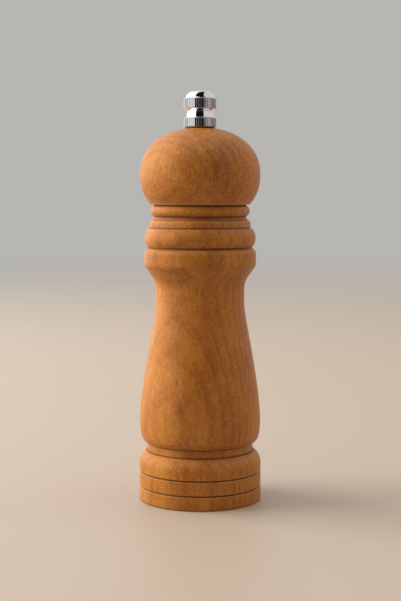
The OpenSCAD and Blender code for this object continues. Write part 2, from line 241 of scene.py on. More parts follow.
class Graph:
    """A node tree with short ways of adding to it."""

    def __init__(self, tree: bpy.types.NodeTree) -> None:
        """Wraps a node tree."""
        self.tree = tree

    def node(
        self,
        kind: str,
        settings: dict[str, Any] | None = None,
        sockets: dict[str | int, Any] | None = None,
    ) -> bpy.types.Node:
        """Adds a node.

        Args:
            kind: the node's type.
            settings: its properties, or the stops of its colour ramp under the name stops.
            sockets: a value or a link for each input, by its name or its number.

        Returns:
            The node.
        """
        made = self.tree.nodes.new(kind)
        for name, setting in (settings or {}).items():
            if name == "stops":
                self._set_stops(made.color_ramp, setting)
            else:
                setattr(made, name, setting)
        for key, value in (sockets or {}).items():
            self.feed(made.inputs[key], value)
        return made

    @staticmethod
    def _set_stops(ramp: bpy.types.ColorRamp, stops: Sequence[tuple[float, Colour]]) -> None:
        """Gives a colour ramp its stops.

        Args:
            ramp: the colour ramp.
            stops: the position and the colour of each stop.
        """
        while len(ramp.elements) < len(stops):
            ramp.elements.new(1.0)
        for element, (position, colour) in zip(ramp.elements, stops):
            element.position = position
            element.color = (*colour, 1.0)

    def feed(self, socket: bpy.types.NodeSocket, value: Any) -> None:
        """Links a socket, or sets its value.

        Args:
            socket: the input.
            value: a Value, a socket, a number, a tuple or a data-block.
        """
        source = value.socket if isinstance(value, Value) else value
        if isinstance(source, bpy.types.NodeSocket):
            self.tree.links.new(source, socket)
        else:
            socket.default_value = source

    def math(self, operation: str, *values: Any) -> Value:
        """Adds a Math node."""
        made = self.node("ShaderNodeMath", {"operation": operation}, dict(enumerate(values)))
        return Value(self, made.outputs[0])

    def vector_math(self, operation: str, *values: Any) -> VectorValue:
        """Adds a Vector Math node that gives a vector."""
        made = self.node("ShaderNodeVectorMath", {"operation": operation}, dict(enumerate(values)))
        return VectorValue(self, made.outputs["Vector"])

    def length(self, vector: VectorValue) -> Value:
        """Adds a Vector Math node that gives a vector's length."""
        made = self.node("ShaderNodeVectorMath", {"operation": "LENGTH"}, {0: vector})
        return Value(self, made.outputs["Value"])

    def combine(self, x: Any, y: Any, z: Any) -> VectorValue:
        """Makes a vector of three numbers."""
        made = self.node("ShaderNodeCombineXYZ", sockets={0: x, 1: y, 2: z})
        return VectorValue(self, made.outputs[0])


class Shader(Graph):
    """The node tree of a material."""

    def millimetres(self) -> VectorValue:
        """The place on the piece, in millimetres."""
        coordinates = self.node("ShaderNodeTexCoord")
        return VectorValue(self, coordinates.outputs["Object"]) * (1 / MM, 1 / MM, 1 / MM)

    def attribute(self, name: str) -> Value:
        """A numeric attribute of the mesh."""
        made = self.node("ShaderNodeAttribute", {"attribute_name": name})
        return Value(self, made.outputs["Fac"])

    def noise(self, where: VectorValue, layer: "Layer") -> Value:
        """Fractal noise from 0 to 1 at a place, or at a place that was scaled by hand.

        Args:
            where: the place.
            layer: the noise's scale and roughness.

        Returns:
            The noise.
        """
        place = where if layer.scale is None else where * layer.scale
        sockets = {"Vector": place, "Scale": 1.0, "Detail": layer.detail, "Roughness": layer.roughness}
        return Value(self, self.node("ShaderNodeTexNoise", sockets=sockets).outputs[0])

    def ramp(self, value: Value, stops: Sequence[tuple[float, Colour]]) -> Value:
        """Turns a number into a colour."""
        made = self.node("ShaderNodeValToRGB", {"stops": stops}, {0: value})
        return Value(self, made.outputs[0])

    def mix(self, share: Any, first: Any, second: Any) -> Value:
        """Mixes two colours.

        Args:
            share: how much of the second colour shows.
            first: the first colour.
            second: the second colour.

        Returns:
            The mixed colour.
        """
        colours = [(*c, 1.0) if isinstance(c, tuple) else c for c in (first, second)]
        sockets = {0: share, 6: colours[0], 7: colours[1]}
        made = self.node("ShaderNodeMix", {"data_type": "RGBA"}, sockets)
        return Value(self, made.outputs[2])

    def bump(self, height: Value, depth: float, strength: float = 1.0) -> bpy.types.NodeSocket:
        """Turns a height from 0 to 1 into a bent normal.

        Args:
            height: the height.
            depth: what a height of 1 stands for, in millimetres.
            strength: how much of the bending is used.

        Returns:
            The normal.
        """
        sockets = {"Strength": strength, "Distance": depth * MM, "Height": height}
        return self.node("ShaderNodeBump", sockets=sockets).outputs[0]

    def surface(self, **sockets: Any) -> None:
        """Ends the tree in a Principled shader.

        Args:
            sockets: a value or a link for each of its inputs, with _ for a space in the input's name.
        """
        named = {name.replace("_", " "): value for name, value in sockets.items()}
        named = {name: (*v, 1.0) if isinstance(v, tuple) else v for name, v in named.items()}
        principled = self.node("ShaderNodeBsdfPrincipled", sockets=named)
        self.node("ShaderNodeOutputMaterial", sockets={"Surface": principled.outputs[0]})


# ---- Finishes ----


@dataclass(frozen=True)
class Layer:
    """One layer of noise in a finish.

    Attributes:
        scale: how many cells it has to a millimetre along X, Y and Z, or None for a place that was scaled.
        detail: how many times it is refined.
        roughness: how strong the finer noise is.
    """

    scale: Triple | None
    detail: float = 2.0
    roughness: float = 0.5

    @classmethod
    def even(cls, cells: float, detail: float = 2.0, roughness: float = 0.5) -> "Layer":
        """A layer with as many cells along each axis."""
        return cls((cells, cells, cells), detail, roughness)


@dataclass(frozen=True)
class Finish:
    """A finish that is painted in nodes.

    Attributes:
        name: the material's name.
    """

    name: str

    def paint(self, shader: Shader) -> None:
        """Adds the finish's nodes to a material's tree."""
        raise NotImplementedError

    def material(self) -> bpy.types.Material:
        """Gives the finish's material, and makes it the first time.

        Returns:
            The material.
        """
        made = bpy.data.materials.get(self.name)
        if made is None:
            made = bpy.data.materials.new(self.name)
            made.use_nodes = True
            made.node_tree.nodes.clear()
            self.paint(Shader(made.node_tree))
        return made


@dataclass(frozen=True)
class StainedWood(Finish):
    """Close-grained wood with a honey stain and a satin lacquer, raw where it was only bored, with painted shade
    in its grooves and a painted contact shade along its foot's lower edge.

    Attributes:
        shift: where this piece was cut from the blank, in millimetres, as all its places are.
        pith: place of the tree's centre, seen from the turning axis.
        ring_w: width of a year's growth.
        ring_wander: how far the rings wander.
        fleck: place of one dark fleck, or far off the piece for none.
        fleck_shape: one over the fleck's reach along X, Y and Z.
        figure: strength of its mottled figure.
        contact_shade_h: height up to which its foot is darkened by a painted contact shade.
        wander, streak, fibre, mottle, speckle, cloud, ray, pores: its layers, from the grain of the tree
            down to its pores.
        deep, dark, middle, light: its stained colours, from the darkest to the lightest.
        raw: its colour where it has no stain.
        pore_and_groove_shade: the colour of its pores, and of the painted shade in its grooves.
        contact_shade_and_groove_dark: the colour of the painted contact shade along its foot's lower edge.
        gloss: its specular level.
    """

    shift: Triple = (0.0, 0.0, 0.0)
    pith: Point = (48.0, 75.0)
    ring_w: float = 3.1
    ring_wander: float = 9.0
    fleck: Triple = (0.0, 0.0, -500.0)
    fleck_shape: Triple = (0.95, 0.3, 0.5)
    figure: float = 1.0
    contact_shade_h: float = 1.0
    wander: Layer = Layer((0.025, 0.025, 0.007))
    streak: Layer = Layer((1.7, 1.7, 0.085), 3.0, 0.6)
    fibre: Layer = Layer((6.0, 6.0, 0.5))
    mottle: Layer = Layer((0.46, 0.46, 0.33), 3.0, 0.6)
    speckle: Layer = Layer((2.6, 2.6, 1.6), 2.0, 0.65)
    cloud: Layer = Layer((0.085, 0.085, 0.05), 1.0)
    ray: Layer = Layer((3.0, 3.0, 0.75), 1.0)
    pores: Layer = Layer((10.0, 10.0, 1.9), 1.0)
    deep: Colour = (0.205, 0.054, 0.003)
    dark: Colour = (0.345, 0.101, 0.006)
    middle: Colour = (0.47, 0.158, 0.013)
    light: Colour = (0.66, 0.285, 0.046)
    raw: Colour = (0.60, 0.40, 0.21)
    # Colour of the pores, also used for the painted shade in the grooves.
    pore_and_groove_shade: Colour = (0.14, 0.042, 0.007)
    # Colour of the painted contact shade along the foot's lower edge.
    contact_shade_and_groove_dark: Colour = (0.060, 0.022, 0.008)
    gloss: float = 0.45

    def paint(self, shader: Shader) -> None:
        """Adds the wood's nodes to a material's tree.

        Args:
            shader: the material's tree.
        """
        here = shader.millimetres()
        grain = here + self.shift
        x, y, _ = grain.parts
        _, _, height_above_foot = here.parts
        wander = shader.noise(grain, self.wander) * self.ring_wander
        from_pith = ((x - self.pith[0]) ** 2.0 + (y - self.pith[1]) ** 2.0) ** 0.5 + wander
        year = shader.math("FRACT", from_pith / self.ring_w)
        late_wood = year.step(0.35, 0.93) * (1.0 - year.step(0.93, 1.0))
        streak = shader.noise(grain, self.streak)
        fibre = shader.noise(grain, self.fibre)
        mottle = shader.noise(grain, self.mottle)
        speckle = shader.noise(grain, self.speckle)
        cloud = shader.noise(grain, self.cloud)
        tone = (
            0.5
            + (streak - 0.5) * 0.55
            + (fibre - 0.5) * 0.45
            + ((mottle - 0.5) * 0.50 + (speckle - 0.5) * 1.25) * self.figure
            + (cloud - 0.5) * 0.6
            - late_wood * 0.12
        )
        stops = [(0.0, self.deep), (0.28, self.dark), (0.52, self.middle), (1.0, self.light)]
        stained = shader.ramp(tone, stops)

        ray = shader.noise(grain, self.ray).step(0.61, 0.76)
        pores = shader.noise(grain, self.pores).step(0.66, 0.80)
        stained = shader.mix(ray * 0.34, stained, self.dark)
        stained = shader.mix(pores * 0.42, stained, self.pore_and_groove_shade)

        cavity = shader.attribute("cavity")
        # Painted shade: the grooves are darkened towards the pore colour, deeper than the stain that gathers
        # there.
        stained = shader.mix(cavity.step(0.05, 0.45) * 0.92, stained, self.pore_and_groove_shade)
        stained = shader.mix((cavity * -1.0).step(0.25, 0.95) * 0.22, stained, self.light)
        fleck = 1.0 - shader.length((here - self.fleck) * self.fleck_shape).step(0.15, 1.0)
        # Painted contact shade: the foot is darkened from its lower edge up to a set height, as if shadowed where
        # it stands on the floor.
        contact_shade_mask = 1.0 - height_above_foot.step(0.0, self.contact_shade_h)
        stained = shader.mix(fleck * 0.6, stained, self.pore_and_groove_shade)
        stained = shader.mix(contact_shade_mask * 0.8, stained, self.contact_shade_and_groove_dark)

        bored = shader.mix(tone.step(0.2, 0.8) * 0.45, self.raw, self.light)
        stain = shader.attribute("stain")
        colour = shader.mix(stain, bored, stained)
        roughness = 0.78 - stain * 0.27 + (mottle - 0.5) * 0.2 + pores * 0.08
        height = fibre * 0.35 + streak * 0.35 + speckle * 0.5 - pores * 0.8 - ray * 0.3
        shader.surface(
            Base_Color=colour,
            Roughness=roughness,
            Coat_Weight=stain * 0.10,
            Coat_Roughness=0.3,
            Specular_IOR_Level=self.gloss,
            Normal=shader.bump(height, 0.09, 0.6),
        )


@dataclass(frozen=True)
class Chrome(Finish):
    """Bright plating with faint smudges, duller on its knurling and darker in the grooves.

    Attributes:
        bright: its colour.
        dull: its colour on the knurling.
        contact_shade_and_groove_dark: its colour deep in the grooves.
        smudge, scratch, ripple: its layers.
    """

    bright: Colour = (0.86, 0.86, 0.87)
    dull: Colour = (0.52, 0.49, 0.48)
    contact_shade_and_groove_dark: Colour = (0.10, 0.09, 0.085)
    smudge: Layer = Layer((0.35, 0.35, 0.5), 3.0)
    scratch: Layer = Layer((1.2, 1.2, 14.0))
    ripple: Layer = Layer.even(0.5)

    def paint(self, shader: Shader) -> None:
        """Adds the plating's nodes to a material's tree.

        Args:
            shader: the material's tree.
        """
        here = shader.millimetres()
        smudge = shader.noise(here, self.smudge).step(0.45, 0.8)
        scratch = shader.noise(here, self.scratch).step(0.60, 0.72)
        band = shader.attribute("knurled")
        groove = shader.attribute("worked").step(0.04, 0.30)
        colour = shader.mix(band, self.bright, self.dull)
        # Darker deep in the grooves, by the depth of the cut.
        colour = shader.mix(groove * 0.7, colour, self.contact_shade_and_groove_dark)
        shader.surface(
            Base_Color=colour,
            Metallic=1.0,
            Roughness=0.04 + smudge * 0.06 + scratch * 0.03 + band * 0.06 + groove * 0.1,
            Normal=shader.bump(shader.noise(here, self.ripple) + scratch * 0.1, 0.012, 0.4),
        )


class Tooling(Enum):
    """How a bare metal surface was worked: its marks along X, Y and Z, or round the axis."""

    DRAWN = Layer((7.0, 7.0, 0.12), 3.0, 0.6)
    ROLLED = Layer((0.3, 7.0, 7.0), 3.0, 0.6)
    TUMBLED = Layer.even(2.4, 3.0, 0.6)
    TURNED = Layer(None)


@dataclass(frozen=True)
class BareMetal(Finish):
    """Metal with the marks of its making, a slight tarnish and oil in what was cut.

    Attributes:
        base: its colour.
        tarnish: the colour that it takes in patches.
        tooling: how it was worked.
        roughness: how rough it is at its brightest.
        ridges: turning marks to a millimetre.
        patch, pits: its layers of tarnish.
    """

    base: Colour = (0.55, 0.55, 0.56)
    tarnish: Colour = (0.38, 0.36, 0.33)
    tooling: Tooling = Tooling.TUMBLED
    roughness: float = 0.28
    ridges: float = 9.0
    patch: Layer = Layer.even(0.4, 3.0, 0.6)
    pits: Layer = Layer.even(5.0, 1.0)

    def paint(self, shader: Shader) -> None:
        """Adds the metal's nodes to a material's tree.

        Args:
            shader: the material's tree.
        """
        here = shader.millimetres()
        tooled = here
        if self.tooling is Tooling.TURNED:
            x, y, z = here.parts
            tooled = shader.combine(((x * x + y * y) ** 0.5) * self.ridges, z * self.ridges, 0.0)
        marks = shader.noise(tooled, self.tooling.value)
        patch = shader.noise(here, self.patch)
        pits = shader.noise(here, self.pits).step(0.68, 0.80)
        oil = shader.attribute("worked").step(0.05, 0.30)
        tarnished = (patch.step(0.45, 0.72) * 0.4 + pits * 0.3 + oil * 0.6).least(1.0)
        shader.surface(
            Base_Color=shader.mix(tarnished, self.base, self.tarnish),
            Metallic=1.0,
            Roughness=self.roughness + (marks - 0.5) * 0.18 + tarnished * 0.12,
            Normal=shader.bump(marks * 0.7 + patch * 0.2 - pits * 0.3, 0.008, 0.4),
        )


@dataclass(frozen=True)
class Moulded(Finish):
    """Moulded plastic: a fine matt skin, slow flow marks and a little pepper dust.

    Attributes:
        base: its colour.
        pale: its colour where it is rubbed.
        roughness: its mean roughness.
        gloss: its specular level.
        skin, flow, dust: its layers.
    """

    base: Colour = (0.021, 0.021, 0.023)
    pale: Colour = (0.06, 0.058, 0.055)
    roughness: float = 0.46
    gloss: float = 0.5
    skin: Layer = Layer.even(4.0, 2.0, 0.6)
    flow: Layer = Layer((0.16, 0.16, 0.3))
    dust: Layer = Layer.even(2.1, 1.0)

    def paint(self, shader: Shader) -> None:
        """Adds the plastic's nodes to a material's tree.

        Args:
            shader: the material's tree.
        """
        here = shader.millimetres()
        skin = shader.noise(here, self.skin)
        flow = shader.noise(here, self.flow)
        dust = shader.noise(here, self.dust).step(0.66, 0.82)
        rubbed = (shader.attribute("cavity") * -1.0).step(0.4, 1.0)
        worn = (flow.step(0.4, 0.75) * 0.22 + rubbed * 0.5 + dust * 0.3).least(1.0)
        shader.surface(
            Base_Color=shader.mix(worn, self.base, self.pale),
            Roughness=self.roughness + (skin - 0.5) * 0.16 + dust * 0.2 - rubbed * 0.06,
            Specular_IOR_Level=self.gloss,
            Normal=shader.bump(skin * 0.8 + flow * 0.6, 0.025, 0.45),
        )


@dataclass(frozen=True)
class Ceramic(Finish):
    """Fired ceramic: off-white, finely speckled, with pepper dust in its teeth.

    Attributes:
        base: its colour.
        shade: the colour of its slow clouds.
        speck: the colour of its specks.
        dust: the colour of the pepper dust.
        body, grit, specks, drift: its layers.
        gloss: its specular level.
    """

    base: Colour = (0.80, 0.765, 0.69)
    shade: Colour = (0.66, 0.62, 0.545)
    speck: Colour = (0.34, 0.27, 0.20)
    dust: Colour = (0.30, 0.205, 0.12)
    body: Layer = Layer.even(0.5, 3.0, 0.6)
    grit: Layer = Layer.even(5.5, 2.0, 0.6)
    specks: Layer = Layer.even(2.6, 1.0)
    drift: Layer = Layer.even(0.9)
    gloss: float = 0.55

    def paint(self, shader: Shader) -> None:
        """Adds the ceramic's nodes to a material's tree.

        Args:
            shader: the material's tree.
        """
        here = shader.millimetres()
        body = shader.noise(here, self.body)
        grit = shader.noise(here, self.grit)
        specks = shader.noise(here, self.specks).step(0.70, 0.78)
        packed = shader.attribute("worked").step(0.05, 0.55) * shader.noise(here, self.drift).step(0.3, 0.6)
        colour = shader.mix(body.step(0.3, 0.7), self.base, self.shade)
        colour = shader.mix(specks * 0.5, colour, self.speck)
        colour = shader.mix(packed * 0.6, colour, self.dust)
        shader.surface(
            Base_Color=colour,
            Roughness=0.42 + (grit - 0.5) * 0.2 + packed * 0.25,
            Specular_IOR_Level=self.gloss,
            Normal=shader.bump(grit * 0.8 + body * 0.4, 0.03, 0.5),
        )


BARREL_WOOD = StainedWood("honey_wood_barrel", fleck=(-9.2, -19.9, 50.7))
HEAD_WOOD = StainedWood("honey_wood_head", shift=(7.0, 31.0, 180.0), figure=1.3)
CHROME = Chrome("chrome_plating")
SHAFT_STEEL = BareMetal("drawn_shaft_steel", (0.52, 0.52, 0.53), (0.33, 0.31, 0.28), Tooling.DRAWN, 0.26)
SCREW_ZINC = BareMetal("zinc_plated_screws", (0.60, 0.62, 0.66), (0.52, 0.49, 0.40), Tooling.TUMBLED, 0.24)
BRIDGE_ZINC = BareMetal("zinc_plated_strip", (0.60, 0.62, 0.66), (0.50, 0.48, 0.41), Tooling.ROLLED, 0.27)
WASHER_ZINC = BareMetal("zinc_plated_washer", (0.60, 0.62, 0.66), (0.52, 0.49, 0.40), Tooling.TURNED, 0.27)
SPRING_STEEL = BareMetal("oiled_spring_steel", (0.30, 0.30, 0.32), (0.15, 0.13, 0.12), Tooling.TUMBLED, 0.30)
PLATE_ALUMINIUM = BareMetal("stamped_aluminium", (0.70, 0.71, 0.73), (0.56, 0.56, 0.55), Tooling.ROLLED, 0.33)
BUSH_BRASS = BareMetal("turned_brass", (0.66, 0.45, 0.16), (0.44, 0.28, 0.11), Tooling.TURNED, 0.24)
BLACK_PLASTIC = Moulded("moulded_black_plastic")
# Near-black, almost glossless nylon for the two thin washers: partly painted shade that stands in for the dark
# lines between head and barrel and under the knob.
SHADE_LINE_NYLON = Moulded("dark_nylon", (0.020, 0.007, 0.006), (0.034, 0.014, 0.011), 0.7, 0.04)
PALE_NYLON = Moulded("natural_nylon", (0.66, 0.62, 0.53), (0.74, 0.71, 0.64), 0.50)
CERAMIC = Ceramic("fired_ceramic")


# ---- Outlines of turned pieces ----


def arc(centre: Point, radius: float, start: float, stop: float, steps: int = 8) -> list[Point]:
    """Points along an arc.

    Args:
        centre: the arc's centre, as radius and height.
        radius: the arc's own radius.
        start: the angle that it starts at, in degrees.
        stop: the angle that it ends at, in degrees.
        steps: how many stretches it has.

    Returns:
        The points, both ends included.
    """
    angles = np.radians(np.linspace(start, stop, steps + 1))
    return [(centre[0] + radius * math.cos(a), centre[1] + radius * math.sin(a)) for a in angles]


def flare(start: Point, stop: Point, lead_start: float, lead_stop: float, steps: int = 28) -> list[Point]:
    """Points inside a smooth flare that is upright at both ends.

    Args:
        start: its lower end, as radius and height.
        stop: its upper end.
        lead_start: how far it keeps upright at its lower end.
        lead_stop: how far it keeps upright at its upper end.
        steps: how many stretches it has.

    Returns:
        The points between the ends.
    """
    (r0, z0), (r1, z1) = start, stop
    points = []
    for t in np.linspace(0, 1, steps + 1)[1:-1]:
        s = 1 - t
        r = s * s * (s + 3 * t) * r0 + t * t * (t + 3 * s) * r1
        z = s**3 * z0 + 3 * s * s * t * (z0 + lead_start) + 3 * s * t * t * (z1 - lead_stop) + t**3 * z1
        points.append((r, z))
    return points


def bead(radius: float, section: float, low: float, high: float, steps: int = 16) -> list[Point]:
    """Points along a round bead between two heights.

    Args:
        radius: the bead's largest radius.
        section: the radius of its section.
        low: the height of its lower edge.
        high: the height of its upper edge.
        steps: how many stretches it has.

    Returns:
        The points, both ends included.
    """
    half = math.degrees(math.asin((high - low) / 2 / section))
    return arc((radius - section, (low + high) / 2), section, -half, half, steps)


def between(low: float, high: float, fade: float = 0.3) -> Mark:
    """A mark that is 1 between two heights and fades out past them.

    Args:
        low: the lower height.
        high: the upper height.
        fade: how far it takes to fade.

    Returns:
        The mark, as a function of radius and height.
    """
    return lambda r, z: max(0.0, min(1.0, (z - low) / fade + 1, (high - z) / fade + 1))


def within(radius: float) -> Mark:
    """A mark that is 1 nearer to the axis than a radius, and 0 past it."""
    return lambda r, z: float(r < radius)


def beyond(radius: float) -> Mark:
    """A mark that is 1 past a radius, and 0 nearer to the axis."""
    return lambda r, z: float(r > radius)


def under(height: float) -> Mark:
    """A mark that is 1 under a height, and 0 over it."""
    return lambda r, z: float(z < height)


def over(height: float) -> Mark:
    """A mark that is 1 over a height, and 0 under it."""
    return lambda r, z: float(z > height)


def outwards(start: float, reach: float) -> Mark:
    """A mark that rises from 0 at a radius to 1 over a reach."""
    return lambda r, z: max(0.0, min(1.0, (r - start) / reach))


def upwards(start: float) -> Mark:
    """A mark that grows with the height over a start."""
    return lambda r, z: z - start


def scaled(amount: float, *marks: Mark) -> Mark:
    """The product of an amount and of marks: the same everywhere if there are none."""
    return lambda r, z: amount * math.prod(mark(r, z) for mark in marks)


def either(where: Mark, there: float, elsewhere: float | Mark = 0.0) -> Mark:
    """A mark with one value where another mark holds, and another value or a further mark elsewhere.

    Args:
        where: the mark that chooses.
        there: the value where it isn't 0.
        elsewhere: the value, or the mark, where it is 0.

    Returns:
        The mark.
    """

    def chosen(r: float, z: float) -> float:
        """Gives the value at one place."""
        if where(r, z):
            return there
        return elsewhere(r, z) if callable(elsewhere) else elsewhere

    return chosen


@dataclass
class Outline:
    """Section of a turned piece in the plane of radius and height, with the solid on its left.

    Attributes:
        points: its corners and arcs.
        closed: True for a piece with a bore, False where both ends lie on the axis.
        ease: the radius that its corners are eased to.
        step: the longest stretch between two rings, or a function of radius and height that gives it.
        marks: attributes of its points, each a function of radius and height.
    """

    points: list[Point]
    closed: bool = True
    ease: float = 0.15
    step: float | Mark = 2.0
    marks: dict[str, Mark] = field(default_factory=dict)

    def _eased(self) -> list[Vector]:
        """Rounds every corner that is sharper than a step of an arc.

        Returns:
            The points, in millimetres.
        """
        corners = [Vector(p) for p in self.points]
        least_turn, steps, share = math.radians(20), 4, 0.42
        eased = []
        for i, corner in enumerate(corners):
            into, away = corner - corners[i - 1], corners[(i + 1) % len(corners)] - corner
            at_end = not self.closed and i in (0, len(corners) - 1)
            if at_end or into.angle(away) < least_turn:
                eased.append(corner)
                continue
            reach = min(self.ease * math.tan(into.angle(away) / 2), share * into.length, share * away.length)
            start, stop = corner - into.normalized() * reach, corner + away.normalized() * reach
            for t in np.linspace(0, 1, steps + 1):
                eased.append(start * (1 - t) ** 2 + corner * (2 * t * (1 - t)) + stop * t**2)
        return eased

    def _stepped(self, points: list[Vector]) -> list[Vector]:
        """Divides the stretches that are longer than the step.

        Args:
            points: the eased points.

        Returns:
            The points with those between them.
        """
        stepped = []
        ends = points[1:] + points[:1] if self.closed else points[1:]
        for start, stop in zip(points, ends):
            middle = (start + stop) / 2
            step = self.step(*middle) if callable(self.step) else self.step
            count = max(1, math.ceil((stop - start).length / step))
            stepped += [start.lerp(stop, k / count) for k in range(count)]
        return stepped if self.closed else stepped + points[-1:]

    def _cavity(self, points: list[Vector]) -> list[float]:
        """How far each point lies in a groove, up to 1, or on an edge, down to -1.

        Args:
            points: the divided points.

        Returns:
            One number for each point.
        """
        reach, full_turn = 0.5, 1.2
        loop = np.array(points)
        if self.closed:
            into, away = loop - np.roll(loop, 1, 0), np.roll(loop, -1, 0) - loop
        else:
            into, away = np.gradient(loop, axis=0), np.gradient(loop, axis=0)
            into[1:-1], away[1:-1] = loop[1:-1] - loop[:-2], loop[2:] - loop[1:-1]
        cross = into[:, 0] * away[:, 1] - into[:, 1] * away[:, 0]
        turning = np.arctan2(cross, (into * away).sum(1))
        along = np.concatenate([[0], np.cumsum(np.linalg.norm(np.diff(loop, axis=0), axis=1))])
        apart = np.abs(along[:, None] - along[None, :])
        if self.closed:
            whole = along[-1] + np.linalg.norm(loop[-1] - loop[0])
            apart = np.minimum(apart, whole - apart)
        weight = np.clip(1 - apart / reach, 0, 1)
        return list(np.clip(-(weight @ turning) / full_turn, -1, 1))

    def mesh(self, name: str) -> bpy.types.Mesh:
        """Makes the outline as a chain of edges, drawn as the turning tree reads it.

        Args:
            name: the mesh's name.

        Returns:
            The mesh, with its attributes.
        """
        points = self._stepped(self._eased())
        edges = [(i, i + 1) for i in range(len(points) - 1)]
        if self.closed:
            edges.append((len(points) - 1, 0))
        made = bpy.data.meshes.new(name)
        made.from_pydata([((r - RAIL_R) * MM, -z * MM, 0) for r, z in points], edges, [])
        values = {mark: [rule(r, z) for r, z in points] for mark, rule in self.marks.items()}
        values["cavity"] = self._cavity(points)
        for mark, numbers in values.items():
            made.attributes.new(mark, "FLOAT", "POINT").data.foreach_set("value", numbers)
        return made


# ---- Geometry Nodes ----


class GeometryTool(Graph):
    """A Geometry Nodes tree with named inputs, which ends in Realize Instances and Set Material."""

    def __init__(self, name: str, inputs: dict[str, type]) -> None:
        """Makes the tree's sockets.

        Args:
            name: the tree's name.
            inputs: its named inputs and their types, besides its geometry and its material.
        """
        super().__init__(bpy.data.node_groups.new(name, "GeometryNodeTree"))
        kinds = {int: "NodeSocketInt", float: "NodeSocketFloat"}
        face = self.tree.interface
        face.new_socket("Geometry", in_out="INPUT", socket_type="NodeSocketGeometry")
        made = {
            key: face.new_socket(key, in_out="INPUT", socket_type=kinds[kind]) for key, kind in inputs.items()
        }
        made["Material"] = face.new_socket("Material", in_out="INPUT", socket_type="NodeSocketMaterial")
        face.new_socket("Geometry", in_out="OUTPUT", socket_type="NodeSocketGeometry")
        self.identifiers = {key: socket.identifier for key, socket in made.items()}
        self.entry = self.node("NodeGroupInput")
        realized = self.node("GeometryNodeRealizeInstances", sockets={0: self.build()})
        sockets = {"Geometry": realized.outputs[0], "Material": self.given("Material")}
        dressed = self.node("GeometryNodeSetMaterial", sockets=sockets)
        self.node("NodeGroupOutput", sockets={0: dressed.outputs[0]})

    def build(self) -> bpy.types.NodeSocket:
        """Adds the tree's own nodes and gives the geometry that they make."""
        raise NotImplementedError

    def given(self, name: str) -> Value:
        """One of the tree's inputs."""
        return Value(self, self.entry.outputs[name])

    def named(self, name: str) -> Value:
        """A numeric attribute of the geometry."""
        made = self.node("GeometryNodeInputNamedAttribute", {"data_type": "FLOAT"}, {"Name": name})
        return Value(self, made.outputs[0])

    def run(self, source: bpy.types.Mesh, material: bpy.types.Material, **values: float) -> bpy.types.Mesh:
        """Runs the tree on a mesh.

        Args:
            source: the mesh that it starts from.
            material: the material that it sets.
            values: its named inputs, with _ for a space.

        Returns:
            The result as a plain mesh.
        """
        carrier = bpy.data.objects.new(source.name, source)
        bpy.context.scene.collection.objects.link(carrier)
        modifier = carrier.modifiers.new(self.tree.name, "NODES")
        modifier.node_group = self.tree
        modifier[self.identifiers["Material"]] = material
        for name, value in values.items():
            modifier[self.identifiers[name.replace("_", " ")]] = value
        return settled(carrier)


class TurningTool(GeometryTool):
    """Turns an outline round the Z axis, then cuts the teeth, threads and flats that its points ask for."""

    def __init__(self) -> None:
        """Names the tree's inputs."""
        inputs = {"Segments": int, "Teeth": int, "Fine Teeth": int, "Crest": float, "Pitch": float}
        super().__init__("turning", inputs)

    def _groove(self, phase: Value) -> Value:
        """Depth of a groove from 0 on its crest to 1 at its root.

        Args:
            phase: the place across the grooves, with one groove to each unit.

        Returns:
            The depth.
        """
        depth = self.math("PINGPONG", phase, 0.5) * 2.0
        crest = self.given("Crest")
        return ((depth - crest) / (1.0 - crest)).most(0.0)

    def _flat(self, name: str, lean: Value) -> Value:
        """Radius of a flat, far outside the piece where a point asks for none.

        Args:
            name: the attribute that gives the flat's distance from the axis.
            lean: the cosine of the angle from the flat's middle.

        Returns:
            The radius, in metres.
        """
        flat = self.named(name)
        none = self.math("LESS_THAN", flat, NARROW)
        return flat / abs(lean).most(NARROW) + none

    def build(self) -> bpy.types.NodeSocket:
        """Adds the lathe, the cutters and the weld at the poles.

        Returns:
            The turned piece's socket.
        """
        outline = self.node("GeometryNodeMeshToCurve", sockets={0: self.entry.outputs["Geometry"]})
        round_trip = {"Resolution": self.given("Segments"), "Radius": RAIL_R * MM}
        rail = self.node("GeometryNodeCurvePrimitiveCircle", sockets=round_trip)
        upright = self.node("GeometryNodeSetCurveNormal", {"mode": "Z_UP"}, {0: rail.outputs[0]})
        sweep = {"Curve": upright.outputs[0], "Profile Curve": outline.outputs[0]}
        skin = self.node("GeometryNodeCurveToMesh", sockets=sweep)
        x, y, z = VectorValue(self, self.node("GeometryNodeInputPosition").outputs[0]).parts
        radius = (x * x + y * y) ** 0.5
        angle = self.math("ARCTAN2", y, x)
        share = angle / TURN
        cut = (
            self.named("cut") * self._groove(share * self.given("Teeth"))
            + self.named("fine_cut") * self._groove(share * self.given("Fine Teeth"))
            + self.named("thread_cut") * self._groove(share - z / self.given("Pitch"))
        ) * MM
        across = self._flat("flat_x", self.math("COSINE", angle))
        along = self._flat("flat_y", self.math("SINE", angle))
        worked = (radius + cut).least(across).least(along)
        turned = angle + self.named("turn")
        place = self.combine(worked * self.math("COSINE", turned), worked * self.math("SINE", turned), z)
        kept = self.node(
            "GeometryNodeStoreNamedAttribute",
            {"data_type": "FLOAT", "domain": "POINT"},
            {"Geometry": skin.outputs[0], "Name": "worked", "Value": abs(cut) / MM},
        )
        moved = self.node("GeometryNodeSetPosition", sockets={"Geometry": kept.outputs[0], "Position": place})
        weld = {"Geometry": moved.outputs[0], "Distance": NARROW}
        return self.node("GeometryNodeMergeByDistance", sockets=weld).outputs[0]


